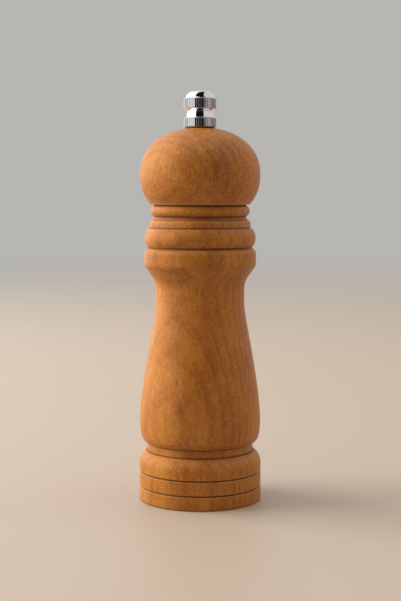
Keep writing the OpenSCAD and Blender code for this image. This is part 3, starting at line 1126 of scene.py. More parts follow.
class RingOfCopiesTool(GeometryTool):
    """Sets equal copies of a mesh at equal angles round the Z axis."""

    def __init__(self) -> None:
        """Names the tree's inputs."""
        super().__init__("ring_of_copies", {"Count": int})

    def build(self) -> bpy.types.NodeSocket:
        """Adds the points and the copies on them.

        Returns:
            The copies' socket.
        """
        count = self.given("Count")
        points = self.node("GeometryNodeMeshLine", sockets={"Count": count, "Offset": (0, 0, 0)})
        index = Value(self, self.node("GeometryNodeInputIndex").outputs[0])
        sockets = {
            "Points": points.outputs[0],
            "Instance": self.entry.outputs["Geometry"],
            "Rotation": self.combine(0.0, 0.0, index * TURN / count),
        }
        return self.node("GeometryNodeInstanceOnPoints", sockets=sockets).outputs[0]


class CoilTool(GeometryTool):
    """Winds a wire into a coil with a flat part turn at each end."""

    def __init__(self) -> None:
        """Names the tree's inputs."""
        sizes = {key: float for key in ("Turns", "Flat Turns", "Coil Radius", "Low", "High", "Wire Radius")}
        super().__init__("coil", {**sizes, "Steps": int, "Sides": int})

    def build(self) -> bpy.types.NodeSocket:
        """Adds the centreline and the wire along it.

        Returns:
            The coil's socket.
        """
        steps, turns, flat = self.given("Steps"), self.given("Turns"), self.given("Flat Turns")
        line = self.node("GeometryNodeMeshLine", sockets={"Count": steps + 1.0, "Offset": (0, 0, 0)})
        wound = Value(self, self.node("GeometryNodeInputIndex").outputs[0]) * turns / steps
        low, high, radius = self.given("Low"), self.given("High"), self.given("Coil Radius")
        climb = ((wound - flat) / (turns - flat * 2.0)).most(0.0).least(1.0)
        angle = wound * TURN
        x, y = radius * self.math("COSINE", angle), radius * self.math("SINE", angle)
        place = self.combine(x, y, low + (high - low) * climb)
        moved = self.node("GeometryNodeSetPosition", sockets={"Geometry": line.outputs[0], "Position": place})
        route = self.node("GeometryNodeMeshToCurve", sockets={0: moved.outputs[0]})
        upright = self.node("GeometryNodeSetCurveNormal", {"mode": "Z_UP"}, {0: route.outputs[0]})
        wire = {"Resolution": self.given("Sides"), "Radius": self.given("Wire Radius")}
        section = self.node("GeometryNodeCurvePrimitiveCircle", sockets=wire)
        sockets = {"Curve": upright.outputs[0], "Profile Curve": section.outputs[0], "Fill Caps": True}
        return self.node("GeometryNodeCurveToMesh", sockets=sockets).outputs[0]


# ---- Meshes ----


def settled(carrier: bpy.types.Object) -> bpy.types.Mesh:
    """Turns an object and its modifiers into a plain mesh, and removes the object.

    Args:
        carrier: the object.

    Returns:
        The mesh, with its faces outwards.
    """
    graph = bpy.context.evaluated_depsgraph_get()
    evaluated = carrier.evaluated_get(graph)
    made = bpy.data.meshes.new_from_object(evaluated, preserve_all_data_layers=True, depsgraph=graph)
    bpy.data.objects.remove(carrier)
    shell = bmesh.new()
    shell.from_mesh(made)
    bmesh.ops.recalc_face_normals(shell, faces=shell.faces)
    shell.to_mesh(made)
    shell.free()
    return made


def solid(name: str, vertices: Sequence[Sequence[float]], faces: Sequence[Sequence[int]]) -> bpy.types.Mesh:
    """Makes a mesh of points in millimetres.

    Args:
        name: the mesh's name.
        vertices: its points.
        faces: the points of each face.

    Returns:
        The mesh.
    """
    made = bpy.data.meshes.new(name)
    made.from_pydata([Vector(v) * MM for v in vertices], [], faces)
    return made


def prism(name: str, corners: Sequence[Point], low: float, high: float, taper: float = 1.0) -> bpy.types.Mesh:
    """Makes an upright prism.

    Args:
        name: the mesh's name.
        corners: its corners in the plane of X and Y.
        low: the height of its lower face.
        high: the height of its upper face.
        taper: the size of its upper face over its lower one.

    Returns:
        The mesh.
    """
    count = len(corners)
    vertices = [(x, y, low) for x, y in corners] + [(x * taper, y * taper, high) for x, y in corners]
    sides = [(i, (i + 1) % count, (i + 1) % count + count, i + count) for i in range(count)]
    return solid(name, vertices, [tuple(reversed(range(count))), tuple(range(count, 2 * count)), *sides])


def disc(radius: float, centre: Point = (0.0, 0.0), steps: int = 32) -> list[Point]:
    """Corners of a round outline.

    Args:
        radius: its radius.
        centre: its centre.
        steps: how many corners it has.

    Returns:
        The corners.
    """
    angles = [TURN * i / steps for i in range(steps)]
    return [(centre[0] + radius * math.cos(a), centre[1] + radius * math.sin(a)) for a in angles]


def carved(mesh: bpy.types.Mesh, cutters: Iterable[bpy.types.Mesh]) -> bpy.types.Mesh:
    """Cuts solids out of a mesh.

    Args:
        mesh: the mesh.
        cutters: what is cut out of it.

    Returns:
        The carved mesh.
    """
    carrier = bpy.data.objects.new(mesh.name, mesh)
    bpy.context.scene.collection.objects.link(carrier)
    tools = []
    for cutter in cutters:
        tool = bpy.data.objects.new(cutter.name, cutter)
        bpy.context.scene.collection.objects.link(tool)
        modifier = carrier.modifiers.new(cutter.name, "BOOLEAN")
        modifier.operation = "DIFFERENCE"
        modifier.solver = "EXACT"
        modifier.object = tool
        tools.append(tool)
    made = settled(carrier)
    for tool in tools:
        bpy.data.objects.remove(tool)
    return made


def softened(node: str, width: float, material: bpy.types.Material) -> bpy.types.Mesh:
    """Copies a CAD node's mesh and rounds its edges.

    Args:
        node: the node's name.
        width: the width of the rounding, in millimetres.
        material: its material.

    Returns:
        The mesh.
    """
    shell = bmesh.new()
    shell.from_mesh(frame["nodes"][node].data)
    bmesh.ops.remove_doubles(shell, verts=shell.verts, dist=NARROW)
    bmesh.ops.dissolve_limit(shell, angle_limit=math.radians(1), verts=shell.verts, edges=shell.edges)
    sharp = [edge for edge in shell.edges if edge.calc_face_angle(0) > math.radians(30)]
    bmesh.ops.bevel(
        shell,
        geom=sharp,
        offset=width * MM,
        segments=3,
        profile=0.5,
        affect="EDGES",
        clamp_overlap=True,
    )
    bmesh.ops.recalc_face_normals(shell, faces=shell.faces)
    made = bpy.data.meshes.new(node)
    shell.to_mesh(made)
    shell.free()
    made.materials.clear()
    made.materials.append(material)
    return made


@dataclass
class Workshop:
    """The geometry tools, and the bench on which finished pieces are put in place.

    Attributes:
        lathe: turns outlines.
        copier: sets copies in a ring.
        winder: winds coils.
        kept_marks: the attributes that the finishes read, which stay on a finished piece.
    """

    lathe: TurningTool = field(default_factory=TurningTool)
    copier: RingOfCopiesTool = field(default_factory=RingOfCopiesTool)
    winder: CoilTool = field(default_factory=CoilTool)
    kept_marks: tuple[str, ...] = ("cavity", "stain", "worked", "knurled")

    def turn(
        self,
        outline: Outline,
        finish: Finish,
        segments: int = 96,
        crest: float = 0.0,
        pitch: float = 1.0,
        **teeth: int,
    ) -> bpy.types.Mesh:
        """Turns an outline.

        Args:
            outline: the piece's section.
            finish: its finish.
            segments: how many faces go round it.
            crest: the share of each tooth that stays uncut.
            pitch: the pitch of its threads.
            teeth: the numbers of teeth, as Teeth and Fine_Teeth.

        Returns:
            The mesh.
        """
        source = outline.mesh(finish.name)
        sizes = {"Segments": segments, "Crest": crest, "Pitch": pitch * MM}
        counts = {"Teeth": 1, "Fine_Teeth": 1, **teeth}
        return self.lathe.run(source, finish.material(), **sizes, **counts)

    def deliver(self, name: str, node: str, mesh: bpy.types.Mesh, sharp: float = 32.0) -> bpy.types.Object:
        """Puts a finished piece in place of its CAD node.

        Args:
            name: the piece's name.
            node: the CAD node that it stands for.
            mesh: the piece's mesh.
            sharp: edges that turn by more than this stay sharp, in degrees.

        Returns:
            The piece.
        """
        kept = {*self.kept_marks, "position", "material_index"}
        spare = [a.name for a in mesh.attributes if not (a.name in kept or a.is_internal or a.is_required)]
        for mark in spare:
            mesh.attributes.remove(mesh.attributes[mark])
        mesh.polygons.foreach_set("use_smooth", [True] * len(mesh.polygons))
        mesh.set_sharp_from_angle(angle=math.radians(sharp))
        mesh.name = name
        piece = bpy.data.objects.new(name, mesh)
        bpy.context.scene.collection.objects.link(piece)
        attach(piece, body_of(node))
        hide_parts(node)
        slot_of(node)
        log.info("%s stands for %s on %s, %d faces", name, node, body_of(node), len(mesh.polygons))
        return piece


# ---- Sub-assemblies ----


@dataclass(frozen=True)
class Screw:
    """Pan-head screw with a cross recess, its head's seat at height 0 and its shank upwards.

    Attributes:
        shank_d: the shank's diameter.
        length: its length under the head.
        pitch: the pitch of its thread.
        head_ratio, head_rise: the head's radius and height over the shank's diameter.
        wing_ratio, slot_ratio: the reach and the half width of the recess's arms over that diameter.
        recess_taper: the size of the recess's floor over its mouth.
        thread_ratio: the depth of the thread over that diameter.
    """

    shank_d: float
    length: float
    pitch: float
    head_ratio: float = 0.8
    head_rise: float = 0.55
    wing_ratio: float = 0.5
    slot_ratio: float = 0.1
    recess_taper: float = 0.45
    thread_ratio: float = 0.11

    @property
    def head_r(self) -> float:
        """Radius of the head."""
        return self.shank_d * self.head_ratio

    @property
    def head_t(self) -> float:
        """Height of the head."""
        return self.shank_d * self.head_rise

    def _recess(self) -> bpy.types.Mesh:
        """The tapered cross that the driver's tip fits.

        Returns:
            The cutter.
        """
        wing, slot = self.shank_d * self.wing_ratio, self.shank_d * self.slot_ratio
        floor, clear = -self.head_t * 0.3, 0.3
        quarter = [(slot, slot), (slot, wing), (-slot, wing)]
        cross = []
        for turns in range(4):
            c, s = math.cos(TURN * turns / 4), math.sin(TURN * turns / 4)
            cross += [(x * c - y * s, x * s + y * c) for x, y in quarter]
        return prism("recess", cross, -self.head_t - clear, floor, self.recess_taper)

    def mesh(self, workshop: Workshop) -> bpy.types.Mesh:
        """Makes one screw.

        Args:
            workshop: the tools.

        Returns:
            The mesh.
        """
        r, tip = self.shank_d / 2, self.shank_d / 2
        thread = between(1.2, self.length - tip, 0.4)
        depth = self.shank_d * self.thread_ratio
        outline = Outline(
            [
                (0, -self.head_t),
                (self.head_r * 0.55, -self.head_t),
                (self.head_r * 0.86, -self.head_t * 0.82),
                (self.head_r, -self.head_t * 0.4),
                (self.head_r, 0),
                (r, 0),
                (r, self.length - tip),
                (r / 4, self.length),
                (0, self.length),
            ],
            closed=False,
            ease=0.18,
            step=either(over(1.0), self.pitch / 7, 1.0),
            marks={"thread_cut": scaled(-depth, thread, beyond(r * 0.9))},
        )
        made = workshop.turn(outline, SCREW_ZINC, segments=32, crest=0.25, pitch=self.pitch)
        return carved(made, [self._recess()])


@dataclass(frozen=True)
class ScrewSet:
    """Equal screws at equal angles round the axis.

    Attributes:
        name: the piece's name.
        node: the CAD node that it stands for.
        screw: one of the screws.
        count: how many there are.
    """

    name: str
    node: str
    screw: Screw
    count: int

    @property
    def circle_r(self) -> float:
        """Radius of the circle that the screws stand on."""
        return Place.of(self.node).high.x - self.screw.head_r

    @property
    def seat(self) -> float:
        """Height of the face under the heads."""
        return Place.of(self.node).bottom + self.screw.head_t

    @property
    def centres(self) -> list[Point]:
        """Centres of the screws."""
        return disc(self.circle_r, steps=self.count)

    def holes(self, clearance: float, low: float, high: float) -> list[bpy.types.Mesh]:
        """Makes the cutters of the screws' holes.

        Args:
            clearance: what a hole's radius is larger by than the shank's.
            low: the height of the holes' lower ends.
            high: the height of their upper ends.

        Returns:
            One cutter for each hole.
        """
        radius = self.screw.shank_d / 2 + clearance
        return [prism("hole", disc(radius, centre), low, high) for centre in self.centres]

    def make(self, workshop: Workshop) -> None:
        """Makes the screws and puts them in place.

        Args:
            workshop: the tools.
        """
        one = self.screw.mesh(workshop)
        one.transform(Matrix.Translation((self.circle_r * MM, 0, self.seat * MM)))
        made = workshop.copier.run(one, SCREW_ZINC.material(), Count=self.count)
        workshop.deliver(self.name, self.node, made)


@dataclass
class Grinder:
    """Housing, burrs, hub and the small parts round the shaft in the foot of the mill.

    Attributes:
        flange_t: thickness of the housing's flange.
        cup_r: radius of its cup.
        ledge_w: width of the ledge over the outer burr.
        pin_r, pin_depth: radius and depth of its ejector marks.
        seat_gap: clearance round what is seated.
        slip_gap: clearance round what slips in or turns.
        ring_groove: how far the snap ring's groove reaches past the outer burr.
        bridge_w: width of the bridge.
        grind_h: height of the fine teeth.
        grind_flare: how far their band flares.
        burr_wall: the outer burr's wall at the tips of its teeth.
        burr_chamfer: chamfer over them.
        fine_depth, feed_depth, flute_depth: depths of the three kinds of teeth.
        fine_teeth, feed_teeth, flutes: their numbers.
        outer_skew, inner_skew: how far the teeth turn, in radians to a millimetre of height.
        tooth_step: longest stretch between two rings on the teeth.
        shaft_w: width of the square shaft.
        hub_wall: the hub's wall at the corners of its bore.
        hub_key: how much nearer its flats are than its round side.
        cone_wall: wall of the inner burr at its top.
        bush_step, bush_wall: width of the bush's flange, and its wall.
        wire_d, spring_turns, spring_flats: the spring's wire, its turns, and the part turns that lie flat.
        edge_w: rounding of the stamped parts' edges.
        screws: the housing's screws.
    """

    flange_t: float = 2.4
    cup_r: float = 14.0
    ledge_w: float = 0.65
    pin_r: float = 1.6
    pin_depth: float = 0.12
    seat_gap: float = 0.05
    slip_gap: float = 0.2
    ring_groove: float = 0.9
    bridge_w: float = 9.0
    grind_h: float = 2.2
    grind_flare: float = 1.3
    burr_wall: float = 2.6
    burr_chamfer: float = 0.9
    fine_depth: float = 0.42
    feed_depth: float = 0.65
    flute_depth: float = 1.05
    fine_teeth: int = 36
    feed_teeth: int = 24
    flutes: int = 9
    outer_skew: float = 0.045
    inner_skew: float = 0.055
    tooth_step: float = 0.3
    shaft_w: float = 5.0
    hub_wall: float = 1.42
    hub_key: float = 0.55
    cone_wall: float = 1.5
    bush_step: float = 1.2
    bush_wall: float = 1.2
    wire_d: float = 0.8
    spring_turns: float = 4.0
    spring_flats: float = 0.75
    edge_w: float = 0.12
    screws: ScrewSet = ScrewSet("housing_pan_screws", "housing_screws", Screw(2.5, 9.0, 0.95), 3)

    @property
    def cup_bore_r(self) -> float:
        """Radius of the barrel's bore round the cup."""
        return self.cup_r + self.slip_gap

    @property
    def recess_r(self) -> float:
        """Radius of the barrel's recess round the flange."""
        return Place.of("grinder_housing").radius + self.slip_gap

    @property
    def recess_h(self) -> float:
        """Height of the face that the flange seats on."""
        return Place.of("grinder_housing").bottom + self.flange_t

    @property
    def hub_r(self) -> float:
        """Radius of the hub where it carries the inner burr."""
        return self.shaft_w / 2 * math.sqrt(2) + self.hub_wall

    @property
    def hub_flat(self) -> float:
        """Distance of the hub's two flats from the axis."""
        return self.hub_r - self.hub_key

    def housing(self, workshop: Workshop) -> None:
        """Makes the flanged cup with its screw holes, the bridge's slot and the ejector marks.

        Args:
            workshop: the tools.
        """
        place, burr, ring = (Place.of(n) for n in ("grinder_housing", "outer_burr", "burr_retainer"))
        seat_r = burr.radius + self.seat_gap
        groove_r = burr.radius + self.ring_groove
        feed_r = burr.radius - self.ledge_w
        low, high, gap = place.bottom, place.top, self.seat_gap
        outline = Outline(
            [
                (seat_r, low),
                (place.radius, low),
                (place.radius, low + self.flange_t),
                (self.cup_r, low + self.flange_t),
                (self.cup_r, high),
                (feed_r, high),
                (feed_r, burr.top),
                (seat_r, burr.top),
                (seat_r, ring.top + gap),
                (groove_r, ring.top + gap),
                (groove_r, ring.bottom - gap),
                (seat_r, ring.bottom - gap),
            ],
            ease=0.22,
            step=2.4,
        )
        made = workshop.turn(outline, BLACK_PLASTIC, segments=144)
        bridge = Place.of("guide_bridge")
        half_w, reach, clear = self.bridge_w / 2 + gap, self.cup_r + 1, 1.0
        corners = [(-reach, -half_w), (reach, -half_w), (reach, half_w), (-reach, half_w)]
        cutters = [prism("slot", corners, bridge.bottom, high + clear)]
        cutters += self.screws.holes(gap, low - clear, low + self.flange_t + clear)
        pins = disc(self.screws.circle_r, steps=2 * self.screws.count)[1::2]
        cutters += [prism("pin", disc(self.pin_r, pin), low - clear, low + self.pin_depth) for pin in pins]
        workshop.deliver("moulded_grinder_housing", "grinder_housing", carved(made, cutters))

    def outer_burr(self, workshop: Workshop) -> None:
        """Makes the toothed ring that stands still.

        Args:
            workshop: the tools.
        """
        place = Place.of("outer_burr")
        tip_r = place.radius - self.burr_wall
        mouth_r, band = tip_r + self.grind_flare, place.bottom + self.grind_h
        fine = between(place.bottom - 1, band, 0.35)
        feed = between(band + 1.6, place.top + 1, 1.1)
        inside = within(min(mouth_r + TOUCH, place.radius - 1))
        outline = Outline(
            [
                (mouth_r, place.bottom),
                (place.radius, place.bottom),
                (place.radius, place.top),
                (tip_r + self.burr_chamfer, place.top),
                (tip_r, place.top - self.burr_chamfer),
                (tip_r, band),
            ],
            ease=0.12,
            step=either(inside, self.tooth_step, 2.0),
            marks={
                "fine_cut": scaled(self.fine_depth, fine, inside),
                "cut": scaled(self.feed_depth, feed, inside),
                "turn": scaled(self.outer_skew, upwards(place.bottom), inside),
            },
        )
        teeth = {"Teeth": self.feed_teeth, "Fine_Teeth": self.fine_teeth}
        made = workshop.turn(outline, CERAMIC, segments=288, crest=0.12, **teeth)
        workshop.deliver("ceramic_outer_burr", "outer_burr", made, sharp=24)

    def inner_burr(self, workshop: Workshop) -> None:
        """Makes the fluted cone that turns.

        Args:
            workshop: the tools.
        """
        place = Place.of("inner_burr")
        foot_r = place.radius
        band_r, band = foot_r - self.grind_flare, place.bottom + self.grind_h
        bore_r = self.hub_r + self.seat_gap
        top_r = bore_r + self.cone_wall
        outside = beyond(bore_r + 0.4)
        fine = between(place.bottom - 1, band, 0.35)
        flute = between(band + 2.2, place.top + 1, 2.0)
        outline = Outline(
            [
                (bore_r, place.bottom),
                (foot_r, place.bottom),
                (band_r, band),
                (top_r, place.top),
                (bore_r, place.top),
            ],
            ease=0.12,
            step=either(outside, self.tooth_step, 2.0),
            marks={
                "fine_cut": scaled(-self.fine_depth, fine, outside),
                "cut": scaled(-self.flute_depth, flute, outside, beyond(top_r - 0.2)),
                "turn": scaled(self.inner_skew, upwards(place.bottom), outside),
                "flat_y": either(outside, 0.0, (self.hub_flat + self.seat_gap) * MM),
            },
        )
        teeth = {"Teeth": self.flutes, "Fine_Teeth": self.fine_teeth}
        made = workshop.turn(outline, CERAMIC, segments=288, crest=0.1, **teeth)
        workshop.deliver("ceramic_inner_burr", "inner_burr", made, sharp=24)

    def hub(self, workshop: Workshop) -> None:
        """Makes the flanged hub with its two flats and its square bore.

        Args:
            workshop: the tools.
        """
        place, seat = Place.of("rotor_hub"), Place.of("inner_burr").bottom
        half = self.shaft_w / 2 + self.seat_gap
        bore_r = half * math.sqrt(2)
        in_bore = within(bore_r + 0.3)
        round_side = either(within(self.hub_r + TOUCH), self.hub_flat * MM)
        outline = Outline(
            [
                (bore_r, place.bottom),
                (place.radius, place.bottom),
                (place.radius, seat),
                (self.hub_r, seat),
                (self.hub_r, place.top),
                (bore_r, place.top),
            ],
            ease=0.15,
            marks={
                "flat_x": either(in_bore, half * MM),
                "flat_y": either(in_bore, half * MM, round_side),
            },
        )
        workshop.deliver("moulded_rotor_hub", "rotor_hub", workshop.turn(outline, BLACK_PLASTIC))

    def spring(self, workshop: Workshop) -> None:
        """Winds the spring between the bridge and the thrust washer.

        Args:
            workshop: the tools.
        """
        place = Place.of("spring")
        wire_r = self.wire_d / 2
        sizes = {
            "Turns": self.spring_turns,
            "Flat_Turns": self.spring_flats,
            "Coil_Radius": (place.radius - wire_r) * MM,
            "Low": (place.bottom + wire_r) * MM,
            "High": (place.top - wire_r) * MM,
            "Wire_Radius": wire_r * MM,
        }
        empty = bpy.data.meshes.new("wire")
        made = workshop.winder.run(empty, SPRING_STEEL.material(), Steps=240, Sides=16, **sizes)
        piece = workshop.deliver("coil_spring", "spring", made)
        fixed_end = Place.of("guide_bridge").bottom
        travel = next(j["range_m"][1] for j in frame["joints"] if j["name"] == "grind_adjust") / MM
        keep = 1 - travel / (fixed_end - Place.of("thrust_washer").top)
        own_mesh(piece)

    def bush(self, workshop: Workshop) -> None:
        """Turns the flanged bush that guides the shaft.

        Args:
            workshop: the tools.
        """
        place, bridge = Place.of("guide_bush"), Place.of("guide_bridge")
        body_r = place.radius - self.bush_step
        bore_r = body_r - self.bush_wall
        outline = Outline(
            [
                (bore_r, place.bottom),
                (body_r, place.bottom),
                (body_r, bridge.top),
                (place.radius, bridge.top),
                (place.radius, place.top),
                (bore_r, place.top),
            ],
            ease=0.14,
        )
        workshop.deliver("turned_guide_bush", "guide_bush", workshop.turn(outline, BUSH_BRASS))

    def make(self, workshop: Workshop) -> None:
        """Makes every piece of the grinder and puts it in place.

        Args:
            workshop: the tools.
        """
        corner_r = self.shaft_w / 2 * math.sqrt(2)
        self.housing(workshop)
        self.screws.make(workshop)
        self.outer_burr(workshop)
        self.inner_burr(workshop)
        self.hub(workshop)
        self.spring(workshop)
        self.bush(workshop)
        for name, node, bore_r, finish in (
            ("nylon_thrust_washer", "thrust_washer", corner_r + self.slip_gap, PALE_NYLON),
            ("steel_retaining_washer", "retaining_washer", corner_r + self.seat_gap, WASHER_ZINC),
        ):
            workshop.deliver(name, node, workshop.turn(washer_outline(node, bore_r), finish))
        for name, node, finish in (
            ("burr_snap_ring", "burr_retainer", SPRING_STEEL),
            ("stamped_guide_bridge", "guide_bridge", BRIDGE_ZINC),
            ("shaft_clip", "retaining_clip", SPRING_STEEL),
        ):
            workshop.deliver(name, node, softened(node, self.edge_w, finish.material()))


def washer_outline(node: str, bore_r: float) -> Outline:
    """Section of a flat washer.

    Args:
        node: the CAD node that gives its outside.
        bore_r: the radius of its hole.

    Returns:
        The outline.
    """
    place = Place.of(node)
    low, high = place.bottom, place.top
    return Outline([(bore_r, low), (place.radius, low), (place.radius, high), (bore_r, high)], ease=0.12)


@dataclass
class Barrel:
    """Turned barrel: ringed foot, belly, waist, cove and collar beads outside, and the bores inside.

    Attributes:
        grinder: the grinder that its bores fit.
        foot_h, foot_round: height of the foot, and the rounding under it.
        shoulder_round, shoulder_sweep: radius and angle of the arc over the foot.
        line_depth, line_w, line_heights: depth, width and heights of the scribed lines.
        band_d, band_h, band_lean: the straight band over the foot, and how much it narrows.
        belly_d, belly_rise: the belly's widest place, and how high it is over the band.
        belly_round, belly_edge_round, belly_edge_sweep: the belly's long arc and the tight one under it.
        belly_lead, waist_lead: how far the flare keeps upright at its ends.
        waist_d, waist_h: the narrowest place, and how far it is under the cove.
        cove_round, cove_h, cove_sweep: the cove under the collar, up to the angle where its arc ends.
        flat_bead_d, flat_bead_h: the lowest bead of the collar, and the others likewise.
        round_bead_section, top_bead_section, small_bead_round: radii of their sections.
        groove_in: how deep the grooves between the beads are.
        chamber_r: radius of the pepper chamber.
        skin_step: longest stretch between two rings outside.
    """

    grinder: Grinder
    foot_h: float = 20.1
    foot_round: float = 0.6
    shoulder_round: float = 6.2
    shoulder_sweep: float = 55.0
    line_depth: float = 0.6
    line_w: float = 0.9
    line_heights: tuple[float, float] = (5.8, 11.8)
    band_d: float = 42.9
    band_h: float = 3.75
    band_lean: float = 0.1
    belly_d: float = 49.0
    belly_rise: float = 9.15
    belly_round: float = 45.0
    belly_edge_round: float = 5.0
    belly_edge_sweep: float = 50.0
    belly_lead: float = 13.5
    waist_d: float = 35.8
    waist_h: float = 5.9
    waist_lead: float = 5.0
    cove_round: float = 9.0
    cove_h: float = 8.4
    cove_sweep: float = 142.0
    flat_bead_d: float = 45.2
    flat_bead_h: float = 8.3
    round_bead_d: float = 44.9
    round_bead_h: float = 7.85
    small_bead_d: float = 40.8
    small_bead_h: float = 4.5
    top_bead_d: float = 40.1
    top_bead_h: float = 4.45
    round_bead_section: float = 5.8
    top_bead_section: float = 2.3
    small_bead_round: float = 1.8
    groove_in: float = 1.45
    chamber_r: float = 12.0
    skin_step: float = 0.55

    def _foot(self, radius: float) -> list[Point]:
        """The foot with its two scribed lines, and the band above it.

        Args:
            radius: the foot's radius.

        Returns:
            The points, upwards.
        """
        points = arc((radius - self.foot_round, self.foot_round), self.foot_round, -90, 0, 5)
        for z in self.line_heights:
            half = self.line_w / 2
            points += [(radius, z - half), (radius - self.line_depth, z), (radius, z + half)]
        rise = self.shoulder_round * math.sin(math.radians(self.shoulder_sweep))
        centre = (radius - self.shoulder_round, self.foot_h - rise)
        points += arc(centre, self.shoulder_round, 0, self.shoulder_sweep, 10)
        band_r = self.band_d / 2
        return points + [(band_r, self.foot_h), (band_r - self.band_lean, self.foot_h + self.band_h)]

    def _belly(self, belly_z: float) -> list[Point]:
        """The belly up to its widest place: a tight arc over the band, then a long one.

        Args:
            belly_z: the height of its widest place.

        Returns:
            The points, upwards.
        """
        offset = self.belly_round - self.belly_edge_round
        edge = math.radians(self.belly_edge_sweep)
        lean = math.asin((self.belly_rise - self.belly_edge_round * math.sin(edge)) / offset)
        middle = self.belly_d / 2 - self.belly_round
        centre = (middle + offset * math.cos(lean), belly_z - offset * math.sin(lean))
        degrees = math.degrees(lean)
        lower = arc(centre, self.belly_edge_round, -self.belly_edge_sweep, -degrees, 10)
        return lower + arc((middle, belly_z), self.belly_round, -degrees * 5 / 6, 0, 5)

    def _collar(self, top: float) -> list[Point]:
        """The four beads of the collar, from the cove's edge to the top face.

        Args:
            top: the height of the top face.

        Returns:
            The points, upwards.
        """
        groove_z = top - self.top_bead_h
        small_z = groove_z - self.small_bead_h
        round_z = small_z - self.round_bead_h
        flat_z = round_z - self.flat_bead_h
        edge, low_round, low_sweep, top_round, top_sweep = 0.3, 3.0, 45.0, 2.4, 62.0
        small_round, small_drop, small_lean, groove_w = self.small_bead_round, 0.95, 0.05, 0.5
        small_mid = groove_z - small_drop - small_round
        low_rise, top_rise = (
            r * math.sin(math.radians(a)) for r, a in ((low_round, low_sweep), (top_round, top_sweep))
        )
        return [
            *arc((self.flat_bead_d / 2 - low_round, flat_z + low_rise), low_round, -low_sweep, 0, 8),
            *arc((self.flat_bead_d / 2 - top_round, round_z - edge - top_rise), top_round, 0, top_sweep, 10),
            (self.round_bead_d / 2 - self.groove_in, round_z),
            *bead(self.round_bead_d / 2, self.round_bead_section, round_z + edge, small_z - edge / 2),
            (self.small_bead_d / 2 - small_lean, small_z),
            *arc((self.small_bead_d / 2 - small_round, small_mid), small_round, 0, 75, 10),
            (self.top_bead_d / 2 - self.groove_in, groove_z),
            *bead(self.top_bead_d / 2, self.top_bead_section, groove_z + groove_w, top, 14),
        ]

    def make(self, workshop: Workshop) -> None:
        """Turns and bores the barrel and puts it in place.

        Args:
            workshop: the tools.
        """
        place = Place.of("barrel")
        top, grinder = place.top, self.grinder
        belly_z = self.foot_h + self.band_h + self.belly_rise
        beads_h = self.top_bead_h + self.small_bead_h + self.round_bead_h + self.flat_bead_h
        cove_z = top - beads_h - self.cove_h
        waist = (self.waist_d / 2, cove_z - self.waist_h)
        belly = (self.belly_d / 2, belly_z)
        step_z = Place.of("grinder_housing").top + grinder.slip_gap
        outside = [
            *self._foot(place.radius),
            *self._belly(belly_z),
            *flare(belly, waist, self.belly_lead, self.waist_lead),
            waist,
            *arc((self.waist_d / 2 + self.cove_round, cove_z), self.cove_round, 180, self.cove_sweep, 10),
            *self._collar(top),
        ]
        inside = [
            (self.chamber_r, top),
            (self.chamber_r, step_z),
            (grinder.cup_bore_r, step_z),
            (grinder.cup_bore_r, grinder.recess_h),
            (grinder.recess_r, grinder.recess_h),
            (grinder.recess_r, 0.0),
        ]
        skin_r = self.waist_d / 2 - 0.6
        outline = Outline(
            outside + inside,
            ease=0.2,
            step=either(beyond(skin_r), self.skin_step, 6.0),
            marks={"stain": self._stain(skin_r)},
        )
        made = workshop.turn(outline, BARREL_WOOD, segments=168)
        screws = grinder.screws
        pilots = screws.holes(grinder.seat_gap, screws.seat, screws.seat + screws.screw.length + 0.5)
        workshop.deliver("turned_barrel", "barrel", carved(made, pilots), sharp=40)

    def _stain(self, skin_r: float) -> Mark:
        """The stain, which covers the outside and none of the bores.

        Args:
            skin_r: a radius between the bores and the outside, over the recess.

        Returns:
            The mark.
        """
        past = 0.3
        recess = scaled(1.0, under(self.grinder.recess_h + past), within(self.grinder.recess_r + past))
        return either(recess, 0.0, beyond(skin_r))


